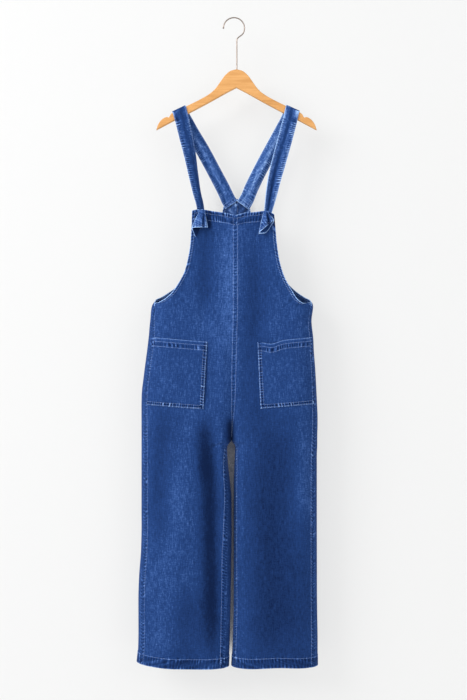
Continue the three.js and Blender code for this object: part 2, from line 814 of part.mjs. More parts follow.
function strapEnd(side) {
  const { rings, rear, pleat } = STRAP_ENDS[side];
  const bell = (across, { at, width }) => Math.exp(-(((across - at) / width) ** 2));
  const bibFace = (drop) => -(FACES.front.curves.depth(drop) + CLOTH / 2 + HEM_RAISE + SEAM_GAP);
  const ringPoints = (ring, number, inset) =>
    Array.from({ length: END_SIDES }, (_, i) => {
      const angle = (2 * Math.PI * i) / END_SIDES;
      const across = Math.cos(angle);
      const outward = Math.sin(angle);
      const share = number / (rings.length - 1);
      const x = (ring.width / 2 - inset) * across;
      const pressed = outward > 0 ? pleat.deep * bell(across, pleat) * smooth(share * 2) : 0;
      const middle = bibFace(ring.drop) - ring.depth / 2 + Math.min(pressed, ring.depth / 2);
      const lengthening = smooth(-outward * 3) * smooth((share - REAR_FROM) / (1 - REAR_FROM));
      const behind = rear.longer * bell(across, rear) * lengthening;
      return [
        ring.x + x,
        middle - (ring.depth / 2 - inset) * outward,
        -(ring.drop + behind) + ring.lean * x,
      ];
    });
  const firstHollow = 2;
  const outer = rings.map((ring, number) => ringPoints(ring, number, 0));
  const inner = rings.map((ring, number) => ringPoints(ring, number, END_WALL)).slice(firstHollow);
  const loops = [...outer, ...inner.reverse()];
  const positions = loops.flat(2);
  const faces = [];
  for (let r = 0; r < loops.length - 1; r += 1)
    for (let c = 0; c < END_SIDES; c += 1) {
      const next = (c + 1) % END_SIDES;
      const [a, b] = [r * END_SIDES, (r + 1) * END_SIDES];
      faces.push(a + c, b + c, b + next, a + c, b + next, a + next);
    }
  const lastLoop = (loops.length - 1) * END_SIDES;
  for (let c = 1; c < END_SIDES - 1; c += 1) {
    faces.push(0, c, c + 1);
    faces.push(lastLoop, lastLoop + c + 1, lastLoop + c);
  }
  return closed(positions, faces);
}

function bar() {
  const shoulder = BAR_UPPER[BAR_UPPER.length - 1].x;
  const smoothed = Array.from({ length: BAR_SAMPLES + 1 }, (_, i) => {
    const x = (shoulder * i) / BAR_SAMPLES;
    return new THREE.Vector2(x, -barTop(x));
  });
  const rest = [...BAR_TIP, ...BAR_LOWER].map(({ x, drop }) => new THREE.Vector2(x, -drop));
  const half = [...smoothed, ...rest];
  const mirrored = half
    .slice(1, -1)
    .map(({ x, y }) => new THREE.Vector2(-x, y))
    .reverse();
  const shape = new THREE.Shape([...half, ...mirrored]);
  const geometry = new THREE.ExtrudeGeometry(shape, {
    depth: BAR_THICKNESS - 2 * BAR_ROUND,
    bevelThickness: BAR_ROUND,
    bevelSize: BAR_ROUND,
    bevelOffset: -BAR_ROUND,
    bevelSegments: 2,
    steps: 1,
  });
  geometry.translate(0, 0, -(BAR_THICKNESS / 2 - BAR_ROUND)).rotateX(Math.PI / 2);
  const above = 10;
  const bore = new THREE.CylinderGeometry(BORE_RADIUS, BORE_RADIUS, STEM_DEPTH + 1 + above, 12);
  bore.rotateX(Math.PI / 2).translate(STEM_X, 0, -NECK_DROP - (STEM_DEPTH + 1 - above) / 2);
  return cut(geometry, bore);
}

// The hook: a stem, a slant out to the side, and a round bend that ends open on the left.
function hook() {
  const centre = { x: -HOOK_OFFSET, z: WIRE_RADIUS - HOOK_RADIUS };
  const onBend = (degrees) => {
    const angle = THREE.MathUtils.degToRad(degrees);
    return new THREE.Vector3(
      centre.x + HOOK_RADIUS * Math.cos(angle),
      0,
      centre.z + HOOK_RADIUS * Math.sin(angle),
    );
  };
  const stem = [NECK_DROP + STEM_DEPTH, NECK_DROP + 4, 108, 82, STEM_TOP + 6, STEM_TOP].map(
    (drop) => new THREE.Vector3(STEM_X, 0, -drop),
  );
  const bend = [];
  for (let degrees = -28; degrees <= 184; degrees += 12) bend.push(onBend(degrees));
  const path = new THREE.CatmullRomCurve3([...stem, ...bend], false, "centripetal");
  const section = new THREE.Shape();
  section.absarc(0, 0, WIRE_RADIUS, 0, 2 * Math.PI);
  return new THREE.ExtrudeGeometry(section, { extrudePath: path, steps: 46, curveSegments: 5 });
}

function slit(side) {
  const { x, y } = STRAPS[side].front[0];
  return new THREE.BoxGeometry(SLIT.width, SLIT.deep, SLIT.height).translate(x, y, -SLIT.drop);
}

const garment = new THREE.Group();
garment.position.x = HOOK_OFFSET;

function add(name, geometry, material) {
  const mesh = new THREE.Mesh(geometry, material);
  mesh.name = name;
  garment.add(mesh);
}

for (const side of ["left", "right"]) {
  add(`front_${side}`, cut(panel(side, "front"), slit(side)), MATERIALS.denim);
  add(`back_${side}`, panel(side, "back"), MATERIALS.denim);
  add(`pocket_${side}`, pocket(side), MATERIALS.denim);
  add(`strap_${side}`, strap(side), MATERIALS.denim);
  add(`strap_end_${side}`, strapEnd(side), MATERIALS.denim);
}
add("hanger_bar", bar(), MATERIALS.wood);
add("hanger_hook", hook(), MATERIALS.wire);

const dungarees = new THREE.Group();
dungarees.add(garment);

export default dungarees;
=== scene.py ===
# Denim dungarees hanging on a wooden hanger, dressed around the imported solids.
# Shapes are worked out in millimetres from the same sizes as the solids, and become metres in make_mesh.
# Heights are written as drops: how far a point lies below the inside top of the hook.
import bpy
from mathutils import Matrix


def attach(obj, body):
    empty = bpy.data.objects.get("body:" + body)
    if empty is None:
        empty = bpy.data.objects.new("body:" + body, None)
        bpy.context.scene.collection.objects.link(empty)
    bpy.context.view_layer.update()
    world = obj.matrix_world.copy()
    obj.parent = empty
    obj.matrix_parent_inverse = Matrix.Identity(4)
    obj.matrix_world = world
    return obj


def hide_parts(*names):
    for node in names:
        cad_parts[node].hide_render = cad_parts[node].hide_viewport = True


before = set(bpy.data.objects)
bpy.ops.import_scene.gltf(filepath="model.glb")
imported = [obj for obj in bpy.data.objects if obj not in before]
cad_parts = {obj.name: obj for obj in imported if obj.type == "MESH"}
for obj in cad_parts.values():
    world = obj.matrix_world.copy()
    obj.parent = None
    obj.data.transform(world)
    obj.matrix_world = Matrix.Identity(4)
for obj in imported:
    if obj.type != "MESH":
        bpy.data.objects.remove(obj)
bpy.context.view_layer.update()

import copy

import bpy
import numpy as np
from mathutils import Vector

MM = 0.001

# Cloth and seams
CLOTH = 1.3
SEAM_GAP = 0.3
SEAM_SHOWN = 0.08
HEM_DEPTH = 28
HEM_RAISE = 0.9
HEM_STITCH = 25.5
NARROW_HEM = 9
NARROW_STITCH = 7
TOPSTITCH = 6.5
MIDDLE_STITCH = 5.4
CROTCH = 1096
CLEFT_WIDTH = 58
HOOK_OFFSET = 6.5

# Puckers beside a row of stitches
ROPE_PITCH = 8
ROPE_SLANT = 0.9
ROPE_DRIFT = 27
ROPE_STRETCH = 10
ROPE_SHADE = 0.27

# Where folds and creases die out
FOLD_FADE = 0.3
SIDE_STILL = 30
CLEFT_STILL = 14
SEAM_STILL = 16
CREASE_BEND = 0.0012

# Fine net: row and column spacing of the outer side; the inner side is coarser
ROW_STEP = 2.1
BACKING = 3
EDGE_COLUMNS = np.array([0, 1, 2.1, 3.3, 4.5, 5.7, 6.9, 8.1, 9.3, 10.6, 12.5, 15, 18])
EDGE_ROW_LENGTH = 110
MIDDLE_COLUMNS = 72
SECTION_SAMPLES = 160
ARMHOLE_ROWS = 6

# Thread
STITCH_PITCH = 3.3
STITCH_LENGTH = 2.5
STITCH_RADIUS = 0.36


def table(columns, rows):
    return [dict(zip(columns.split(), row)) for row in rows]


def smooth_curve(keys, values, even=False):
    """A smooth curve through points with rising keys. It never swings past them, unless it is an even one."""
    keys = np.asarray(keys, float)
    values = np.asarray(values, float)
    wide = (-1,) + (1,) * (values.ndim - 1)
    gaps = np.diff(keys).reshape(wide)
    slopes = np.diff(values, axis=0) / gaps
    before, after = slopes[:-1], slopes[1:]
    if even:
        inner = (before * gaps[1:] + after * gaps[:-1]) / (gaps[1:] + gaps[:-1])
    else:
        same_way = before * after > 0
        total = np.where(same_way, before + after, 1)
        inner = np.where(same_way, 2 * before * after / total, 0)
    tangents = np.concatenate([slopes[:1], inner, slopes[-1:]])

    def at(key):
        key = np.clip(np.asarray(key, float), keys[0], keys[-1])
        i = np.clip(np.searchsorted(keys, key) - 1, 0, len(keys) - 2)
        span = keys[i + 1] - keys[i]
        t = (key - keys[i]) / span
        if values.ndim > 1:
            t = t.reshape(wide)
            span = span.reshape(wide)
        s = 1 - t
        start = values[i] * s * s * (1 + 2 * t) + span * tangents[i] * t * s * s
        end = values[i + 1] * t * t * (3 - 2 * t) - span * tangents[i + 1] * t * t * s
        return start + end

    return at


def curves_of(rows):
    keys = [row["drop"] for row in rows]
    names = [name for name in rows[0] if name != "drop"]
    return {name: smooth_curve(keys, [row[name] for row in rows]) for name in names}


def mix(a, b, t):
    return a + (b - a) * t


def smooth(t):
    t = np.clip(t, 0, 1)
    return t * t * (3 - 2 * t)


def bump(distance, width):
    return np.exp(-((distance / width) ** 2))


def round_over(t):
    """A quarter of an ellipse: 0 at the edge, upright there, and 1 from one radius in."""
    return np.sqrt(np.clip(1 - (1 - np.clip(t, 0, 1)) ** 2, 0, 1))


def unit(vectors):
    return vectors / np.maximum(np.linalg.norm(vectors, axis=-1, keepdims=True), 1e-9)


def uneven(along, step, seed):
    """A smooth random value between -1 and 1 that changes over about one step."""
    values = np.random.default_rng(seed).uniform(-1, 1, 4096)
    place = np.abs(np.asarray(along, float)) / step
    i = place.astype(int) % 4095
    return mix(values[i], values[i + 1], smooth(place % 1))


SIGNS = {"left": -1, "right": 1}
FACE_SIGNS = {"front": -1, "back": 1}

# How far each half reaches out from the hanger's middle, how far in its leg reaches,
# and how far its side seam and inseam lie round to the front from those edges.
OUTLINE_COLUMNS = "drop side inner side_seam inseam"
OUTLINE = {
    "left": curves_of(table(OUTLINE_COLUMNS, [
        (744, 216, 13, 5, 0),
        (784, 224, 13, 8, 0),
        (836, 229, 13, 12, 0),
        (914, 239, 13, 12, 0),
        (992, 247, 13, 12, 0),
        (1096, 247, 13, 12, 0),
        (1113, 247, 24, 12, 3),
        (1136, 247, 24, 12, 6),
        (1190, 247, 18.5, 12, 10),
        (1250, 247, 13.5, 12, 13),
        (1356, 247, 13, 12, 16),
        (1408, 250, 14, 12, 17),
        (1486, 255, 15, 12, 17),
        (1616, 255, 18, 12, 17),
        (1684, 260, 20.5, 12, 17),
    ])),
    "right": curves_of(table(OUTLINE_COLUMNS, [
        (744, 197, -13, 4, 0),
        (766, 198, -13, 5, 0),
        (785, 195, -13, 5, 0),
        (812, 198.5, -13, 6, 0),
        (862, 201, -13, 7, 0),
        (914, 205, -13, 8, 0),
        (992, 209, -13, 9, 0),
        (1044, 211, -13, 10, 0),
        (1096, 210, -13, 10, 0),
        (1109, 210, -4, 11, 2),
        (1136, 209, -4, 11, 3),
        (1190, 209, -6.5, 12, 5),
        (1250, 209, -7, 12, 5),
        (1512, 209.5, -7, 12, 5),
        (1616, 211, -9.5, 12, 5),
        (1684, 211, -12.5, 12, 5),
    ])),
}

# The middle seams, and how deep the garment hangs in front of and behind its side seams.
FACE_COLUMNS = "drop middle depth cleft round"
FACES = {
    "front": curves_of(table(FACE_COLUMNS, [
        (500, -3, 20, 0, 60),
        (600, -3, 24, 0, 60),
        (744, -3, 31, 0, 56),
        (836, -5, 37, 0.02, 64),
        (914, -7, 41, 0.06, 72),
        (992, -8.5, 43, 0.16, 76),
        (1034, -10, 43, 0.36, 76),
        (1066, -11.5, 42, 0.66, 76),
        (1084, -12.5, 41, 0.87, 76),
        (1096, -13, 40.5, 1, 76),
        (1200, -13, 39, 1, 76),
        (1400, -13, 37, 1, 76),
        (1684, -13, 36, 1, 76),
    ])),
    "back": curves_of(table(FACE_COLUMNS, [
        (467, 2.6, 16, 0, 60),
        (600, 0, 22, 0, 60),
        (744, -3, 32, 0, 56),
        (836, -5, 40, 0.02, 64),
        (940, -7, 45, 0.05, 74),
        (1020, -9, 46, 0.18, 78),
        (1062, -11, 45.5, 0.5, 78),
        (1084, -12.5, 45, 0.82, 78),
        (1096, -13, 44.5, 1, 78),
        (1200, -13, 42, 1, 76),
        (1400, -13, 38.5, 1, 76),
        (1684, -13, 36, 1, 76),
    ])),
}

# The largest folds, as in the solids. Troughs have a negative height.
FOLD_COLUMNS = "top_x bottom_x start end width height"
FOLDS = {
    "front": table(FOLD_COLUMNS, [
        (-6, -10, 470, 900, 30, 4.5),
        (-78, -84, 520, 850, 18, -4),
        (60, 54, 520, 1030, 22, -4.5),
        (-34, -36, 800, 1060, 18, 4),
        (28, 26, 800, 1070, 14, -3),
        (-38, -30, 1000, 1480, 14, 9),
        (-64, -50, 1000, 1720, 20, -10),
        (-112, -180, 1000, 1820, 32, 6),
        (-184, -202, 1050, 1290, 16, -4),
        (11, 14, 1010, 1560, 13, 7),
        (104, 116, 1120, 1900, 46, -9),
        (168, 172, 1080, 1620, 24, 3.5),
    ]),
    "back": table(FOLD_COLUMNS, [
        (-60, -84, 560, 1010, 24, 4),
        (62, 78, 540, 1000, 22, 4.5),
        (-24, -30, 640, 960, 16, -3.5),
        (-52, -40, 1010, 1560, 17, 8),
        (-92, -84, 1060, 1900, 22, -8),
        (-168, -176, 1180, 1900, 30, 5),
        (22, 14, 1020, 1520, 15, 7),
        (62, 70, 1080, 1900, 22, -7),
        (142, 132, 1180, 1900, 30, 4.5),
    ]),
}

# Smaller creases: where each one's middle lies, its lean from upright in degrees, half its length,
# its width, and how far it stands out.
CREASE_COLUMNS = "x drop lean half width height"
CREASES = {
    "front": table(CREASE_COLUMNS, [
        (-92, 575, -8, 42, 5, -0.9),
        (-48, 600, 6, 70, 7, 0.8),
        (52, 585, -5, 60, 6, -0.7),
        (88, 640, 10, 44, 5, 0.8),
        (-118, 690, 38, 34, 6, 1.3),
        (-140, 728, 52, 30, 5, -1.2),
        (-165, 772, 58, 36, 7, 1.2),
        (122, 690, -36, 34, 6, 1.2),
        (146, 735, -50, 30, 6, -1.3),
        (160, 775, -62, 34, 6, 1),
        (-60, 790, 12, 60, 8, 0.9),
        (34, 800, -9, 55, 7, 0.8),
        (-44, 1052, 24, 36, 6, 1.5),
        (-28, 1078, 34, 26, 4, -1.4),
        (-70, 1072, 40, 34, 6, -1.1),
        (18, 1050, -24, 36, 6, 1.3),
        (36, 1082, -36, 30, 5, -1.2),
        (64, 1088, -44, 34, 6, 1),
        (-104, 1060, 62, 38, 6, 0.8),
        (100, 1064, -64, 36, 6, -0.8),
        (-92, 1230, 5, 80, 6, 1.1),
        (-176, 1300, -4, 95, 8, -1),
        (-110, 1450, 4, 90, 7, 0.9),
        (-190, 1510, 3, 70, 6, 0.9),
        (-52, 1560, -3, 80, 6, -0.9),
        (76, 1210, -4, 76, 6, -1),
        (140, 1290, 5, 90, 7, 1),
        (74, 1400, 3, 90, 6, 0.9),
        (152, 1500, -4, 80, 7, -0.9),
        (24, 1570, 2, 70, 5, 0.8),
    ]),
    "back": table(CREASE_COLUMNS, [
        (-64, 560, 8, 50, 6, 0.9),
        (54, 590, -8, 56, 6, -0.8),
        (-128, 700, -40, 34, 6, 1.2),
        (126, 704, 40, 34, 6, -1.2),
        (-90, 790, 10, 62, 7, -0.9),
        (84, 820, -8, 66, 7, 0.9),
        (-46, 1046, -28, 40, 6, 1.5),
        (-70, 1074, -46, 36, 6, -1.3),
        (26, 1050, 26, 38, 6, -1.4),
        (54, 1078, 44, 36, 6, 1.2),
        (-120, 1260, 5, 90, 7, 1),
        (104, 1300, -4, 90, 7, -1),
        (-150, 1480, -3, 90, 7, -0.9),
        (130, 1500, 4, 90, 7, 0.9),
    ]),
}

# How much lighter (above 0) or darker (below 0) the denim is coloured. Above 0 the dye has rubbed off along a
# ridge, with some painted highlight. Below 0 is painted shade: in hollows, in the crotch cleft and over the
# right leg, which faces away from the light, plus painted shadows beside the left pocket and right of each
# strap end.
FADES_AND_SHADE = {
    "front": table(FOLD_COLUMNS, [
        (-20, -16, 500, 920, 28, 0.4),
        (-80, -78, 520, 780, 22, -0.5),
        (52, 44, 540, 1130, 32, -0.5),
        (165, 160, 780, 1060, 26, 0.2),
        (-86, -84, 1020, 1220, 17, -0.9),
        (-50, -46, 1020, 1230, 10, 0.1),
        (-18, -16, 1030, 1112, 9, -1.6),
        (86, 104, 930, 1800, 68, -1),
        (160, 165, 1300, 1800, 40, -0.3),
        (165, 172, 1000, 1340, 26, 0.4),
        (-72, -62, 1010, 1720, 24, -1.5),
        (-188, -206, 960, 1380, 25, -0.55),
        (-108, -208, 900, 1700, 28, 0.15),
        # Painted shadow beside the left pocket's inner edge.
        (-73, -83, 835, 1035, 2.2, -1.5),
        (-110, -130, 1440, 1760, 40, -0.5),
        (8, 12, 1060, 1340, 12, 0.2),
        # Painted shadows right of each strap end.
        (-71, -69, 496, 556, 4.5, -2.4),
        (98, 100, 498, 552, 3.5, -1.5),
    ]),
    "back": table(FOLD_COLUMNS, [
        (-60, -84, 540, 1010, 26, 0.3),
        (62, 78, 520, 1000, 26, 0.3),
        (10, 4, 560, 1040, 30, -0.5),
        (-92, -84, 1050, 1760, 24, -1.2),
        (62, 70, 1070, 1760, 26, -1.2),
        (-176, -182, 1160, 1760, 34, 0.25),
        (142, 136, 1160, 1760, 34, 0.25),
    ]),
}


def folds_at(folds, x, drop):
    total = np.zeros_like(x)
    for fold in folds:
        along = (drop - fold["start"]) / (fold["end"] - fold["start"])
        across = x - mix(fold["top_x"], fold["bottom_x"], along)
        fade = smooth(along / FOLD_FADE) * smooth((1 - along) / FOLD_FADE)
        inside = (along > 0) & (along < 1)
        total += np.where(inside, fold["height"] * fade * bump(across, fold["width"]), 0)
    return total


def creases_at(creases, x, drop):
    total = np.zeros_like(x)
    for crease in creases:
        lean = np.radians(crease["lean"])
        right, down = x - crease["x"], drop - crease["drop"]
        along = right * np.sin(lean) + down * np.cos(lean)
        across = right * np.cos(lean) - down * np.sin(lean)
        bend = CREASE_BEND * along * along * np.sign(crease["height"])
        total += crease["height"] * bump(along, crease["half"]) * bump(across - bend, crease["width"])
    return total


def cloth_points(side, face, reach, drop):
    """Points of the cloth's middle surface, from the middle seam or the leg's inner edge to the side edge."""
    sign, outline, curves = SIGNS[side], OUTLINE[side], FACES[face]
    turned = curves["cleft"](drop)
    seam = curves["middle"](drop) + sign * (SEAM_SHOWN / 2 + CLOTH / 2 * turned)
    inner = np.where(drop > CROTCH, sign * outline["inner"](drop), seam)
    outer = sign * (outline["side"](drop) - CLOTH / 2)
    x = mix(inner, outer, reach)
    width = np.abs(outer - inner)
    from_side, from_inner = (1 - reach) * width, reach * width
    closing = 1 - turned * (1 - round_over(from_inner / CLEFT_WIDTH))
    body = curves["depth"](drop) * round_over(from_side / curves["round"](drop)) * closing
    still = round_over(from_side / SIDE_STILL) * (1 - turned * (1 - round_over(from_inner / CLEFT_STILL)))
    y = FACE_SIGNS[face] * (body + folds_at(FOLDS[face], x, drop) * still)
    return np.stack([x, y, -drop], axis=-1)


# The rows of each panel: drops at the middle and at the side, and the armhole's edge above the underarm.
EDGE_ROW = "middle side edge_x crown"
BIB_ROWS = {
    "left": table(EDGE_ROW, [
        (515.5, 503, 115, 6),
        (550, 547, 116.5, 3),
        (590, 590, 119.5, 0),
        (632, 630, 126, 0),
        (672, 665, 136, 0),
        (706, 692, 151, 0),
        (736, 715, 167, 0),
        (764, 730, 184, 0),
        (790, 739, 200, 0),
    ]),
    "right": table(EDGE_ROW, [
        (515.5, 513, 97.5, 10),
        (550, 550, 101, 5),
        (590, 590, 104.5, 0),
        (632, 632, 111, 0),
        (672, 667, 121, 0),
        (706, 691, 132, 0),
        (736, 713, 145, 0),
        (764, 730, 156, 0),
        (790, 741, 171, 0),
    ]),
}
NAPE_ROWS = {
    "left": table(EDGE_ROW, [
        (467, 488, 34, 0),
        (494, 508, 38, 0),
        (526, 537, 48, 0),
        (560, 568, 63, 0),
        (598, 602, 83, 0),
        (636, 638, 107, 0),
        (674, 670, 132, 0),
        (710, 695, 156, 0),
        (746, 711, 178, 0),
        (784, 725, 200, 0),
        (800, 731, 211, 0),
    ]),
    "right": table(EDGE_ROW, [
        (467, 491, 36, 0),
        (494, 510, 39, 0),
        (526, 538, 47, 0),
        (560, 568, 60, 0),
        (598, 602, 78, 0),
        (636, 638, 99, 0),
        (674, 670, 120, 0),
        (710, 694, 141, 0),
        (746, 711, 160, 0),
        (784, 726, 182, 0),
        (800, 733, 193, 0),
    ]),
}
TRUNK_ROWS = table("middle side edge", [
    (815, 741, ""),
    (832, 788, ""),
    (849, 830, "mouth"),
    (885, 866, ""),
    (920, 902, ""),
    (954, 937, ""),
    (987, 970, ""),
    (1018, 1001, "pocket_bottom"),
    (1042, 1034, ""),
    (1062, 1060, ""),
    (1084, 1084, ""),
    (1096, 1096, "crotch"),
])
LEG_ROWS = [1110, 1134, 1165, 1200, 1240, 1285, 1335, 1390, 1445, 1500, 1555, 1605]
LEG_ENDS = {"left": (1682, 1671), "right": (1681, 1680)}
LEG_BOW = 3

# How a top edge rises between its ends, by the share of its width.
CROWN = table("share rise", [(0, 0), (0.25, 0.62), (0.5, 0.76), (0.75, 1), (0.88, 0.75), (1, 0)])
crown_at = smooth_curve([row["share"] for row in CROWN], [row["rise"] for row in CROWN])


def rows_of(side, face):
    top = (BIB_ROWS if face == "front" else NAPE_ROWS)[side]
    legs = [{"middle": drop, "side": drop} for drop in LEG_ROWS]
    middle, outer = LEG_ENDS[side]
    hem = [{"middle": middle - up, "side": outer - up, "bow": LEG_BOW} for up in (HEM_DEPTH, 0)]
    return top + TRUNK_ROWS + legs + hem


def section(side, face, row):
    """Closely spaced points along one row of a panel, from its middle seam or inseam to its other edge."""
    outline, sign = OUTLINE[side], SIGNS[side]
    in_leg = row["middle"] > CROTCH
    inner = outline["inner"](row["middle"]) if in_leg else sign * FACES[face]["middle"](row["middle"])
    width = outline["side"](row["side"]) - inner
    edge_x = row.get("edge_x")
    stop = (edge_x - inner) / width if edge_x else 1
    side_seam = 1 - outline["side_seam"](row["side"]) / width
    inseam = outline["inseam"](row["middle"]) / width if in_leg else 0
    if edge_x:
        runs = [(face, 0, stop)]
    elif face == "front":
        runs = [("front", inseam, side_seam)]
    else:
        turn = [("front", inseam, 0)] if inseam > 0 else []
        runs = turn + [("back", 0, 1), ("front", 1, side_seam)]
    spread = (1 - np.cos(np.linspace(0, np.pi, SECTION_SAMPLES))) / 2
    parts = []
    for on_face, start, end in runs:
        reach = mix(start, end, spread)
        share = np.clip(reach / stop, 0, 1)
        crown = row.get("crown", 0) * crown_at(share)
        drop = mix(row["middle"], row["side"], share ** row.get("bow", 1)) - crown
        parts.append(cloth_points(side, on_face, reach, drop))
    return np.concatenate(parts)


def lengths_along(points):
    steps = np.linalg.norm(np.diff(points, axis=0), axis=-1)
    return np.concatenate([[0], np.cumsum(steps)])


def values_at(places, lengths, values):
    """Points or normals at places along a line, from those at its lengths."""
    return np.stack([np.interp(places, lengths, values[:, i]) for i in range(values.shape[1])], axis=-1)


def column_places(total):
    """Columns close together by both edges of a row and even between them."""
    edge = EDGE_COLUMNS * min(1, total / EDGE_ROW_LENGTH)
    middle = np.linspace(edge[-1], total - edge[-1], MIDDLE_COLUMNS + 1)[1:-1]
    return np.concatenate([edge, middle, (total - edge)[::-1]])


def spread_row(points, trim_start, trim_end):
    lengths = lengths_along(points)
    total = lengths[-1] - trim_start - trim_end
    return values_at(trim_start + column_places(total), lengths, points)


class Net:
    """Points on a piece's middle surface, with outward normals and distances to each edge."""

    def __init__(self, points, outward):
        self.points = points
        self.outward = outward
        self.measure()

    def measure(self):
        down = np.gradient(self.points, axis=0)
        across = np.gradient(self.points, axis=1)
        self.normals = unit(np.cross(across, down)) * self.outward
        steps = np.linalg.norm(np.diff(self.points, axis=1), axis=2)
        self.start = np.pad(np.cumsum(steps, axis=1), ((0, 0), (1, 0)))
        self.end = self.start[:, -1:] - self.start
        steps = np.linalg.norm(np.diff(self.points, axis=0), axis=2)
        self.down = np.pad(np.cumsum(steps, axis=0), ((1, 0), (0, 0)))
        self.up = self.down[-1:] - self.down
        self.weave = np.stack([self.start, self.down], axis=-1)

    def push(self, amount):
        self.points = self.points + self.normals * amount[..., None]
        self.measure()


def kept(count, extra=()):
    """The rows or columns of a net that its wall's inner side keeps: every third one and the extra ones."""
    return sorted({*range(0, count, BACKING), count - 1, *extra})


def panel_net(side, face):
    rows = rows_of(side, face)
    trim = SEAM_SHOWN / 2
    net = np.array([
        spread_row(
            section(side, face, row),
            trim if row["middle"] >= CROTCH else 0,
            0 if "edge_x" in row else trim,
        )
        for row in rows
    ])
    keys = np.append(0, np.cumsum(np.linalg.norm(np.diff(net, axis=0), axis=2).mean(axis=1)))
    count = int(round(keys[-1] / ROW_STEP / BACKING)) * BACKING
    places = np.linspace(0, keys[-1], count + 1)
    panel = Net(smooth_curve(keys, net, even=True)(places), SIGNS[side] * FACE_SIGNS[face])
    panel.side, panel.face = side, face
    panel.marks = {
        row.get("edge", ""): int(round(keys[i] / keys[-1] * count)) for i, row in enumerate(rows)
    }
    panel.armhole = int(round(keys[len(rows) - len(LEG_ROWS) - 2 - len(TRUNK_ROWS)] / keys[-1] * count))
    x, _, z = np.moveaxis(panel.points, 2, 0)
    panel.faded = folds_at(FADES_AND_SHADE[face], x, -z)
    flat = smooth(panel.start / SEAM_STILL) * smooth(panel.end / SEAM_STILL)
    panel.push(creases_at(CREASES[face], x, -z) * flat)
    middle = panel.points.shape[1] // 2
    panel.weave = np.stack([panel.start - panel.start[:, [middle]] + np.abs(x[:, [middle]]), -z], axis=-1)
    rows, columns = z.shape
    edges = len(EDGE_COLUMNS)
    panel.kept_rows = kept(rows, range(panel.armhole + ARMHOLE_ROWS))
    panel.kept_columns = kept(columns, [*range(edges), *range(columns - edges, columns)])
    return panel


def rope(along, distance, seed, pitch=ROPE_PITCH):
    """Slanting puckers beside a stitched edge: 1 on a ridge, -1 in a valley, uneven in length and depth."""
    slant = ROPE_SLANT * distance / ROPE_PITCH
    drift = 1.1 * uneven(along, ROPE_DRIFT, seed)
    strength = 0.62 + 0.38 * uneven(along, ROPE_STRETCH, seed + 1)
    return np.tanh(1.7 * np.sin(2 * np.pi * (along / pitch + drift) + slant)) * strength


class Relief:
    """What a piece's outer side shows above its plain wall: its height, and one value for both its wear and
    its painted shade.
    """

    def __init__(self, shape):
        self.height = np.zeros(shape)
        self.wear_and_shade = np.zeros(shape)

    def stitched(self, distance, where=1.0):
        """The shallow groove of a row of stitches, with the dye rubbed off along it."""
        self.height -= where * 0.28 * bump(distance, 0.9)
        self.wear_and_shade += where * 0.55 * bump(distance, 1.4)

    def ropes(self, distance, along, centre, reach, seed, where=1.0, raised=0.42, shade=1.6,
              pitch=ROPE_PITCH):
        """Slanting puckers between a row of stitches and the edge that it holds."""
        waves = rope(along, distance, seed, pitch)
        near = bump(distance - centre, reach)
        self.height += where * raised * waves * near
        self.wear_and_shade += where * shade * (waves - ROPE_SHADE) * near

    def turned_edge(self, distance, along, width, seed, raised=0.8, where=1.0):
        """An edge turned under and stitched down near the inside of its turn."""
        band = smooth((width + 0.9 - distance) / 1.8)
        self.height += where * raised * band
        self.wear_and_shade += where * 1.7 * bump(distance, 1.7)
        self.ropes(distance, along, width * 0.5, width * 0.5, seed, where)
        self.stitched(distance - (width - NARROW_HEM + NARROW_STITCH), where)

    def seam(self, distance, along, seed, raised=0.55, stitched=TOPSTITCH, where=1.0):
        """A seam whose allowance lies under this piece and is stitched down through it."""
        band = smooth((stitched + 1.6 - distance) / 2)
        self.height += where * (raised * band - 0.3 * bump(distance, 0.9))
        self.wear_and_shade += where * (0.15 * band - 0.3 * bump(distance, 0.7))
        self.ropes(distance, along, stitched * 0.5, stitched * 0.55, seed, where)
        self.stitched(distance - stitched, where)

    def middle_seam(self, distance, side_distance, along, seed, where=1.0):
        """A flat seam whose puckers run across it, from the one row of stitches to the other."""
        band = smooth((MIDDLE_STITCH + 1.6 - distance) / 2)
        self.height += where * (0.5 * band - 0.15 * bump(distance, 0.6))
        self.ropes(side_distance, along, 0, MIDDLE_STITCH, seed, where, 0.3, 0.8)
        self.stitched(distance - MIDDLE_STITCH, where)

    def wide_hem(self, distance, along, seed, where=1.0):
        """A deep hem with a ridge over its fold and long puckers between its edge and its stitching."""
        band = smooth((HEM_DEPTH + 1 - distance) / 2)
        self.height += where * HEM_RAISE * band
        self.wear_and_shade += where * (1.7 * bump(distance, 1.8) - 0.1 * band)
        self.ropes(distance, along, HEM_DEPTH - 8, 7, seed, where, 0.35, 1.35)
        self.ropes(distance, along, 5, 5, seed + 3, where, 0.3, 1.4)
        self.wear_and_shade += where * band * 0.5 * uneven(along + 3 * distance, 9, seed + 5)
        self.stitched(distance - HEM_STITCH, where * 1.7)


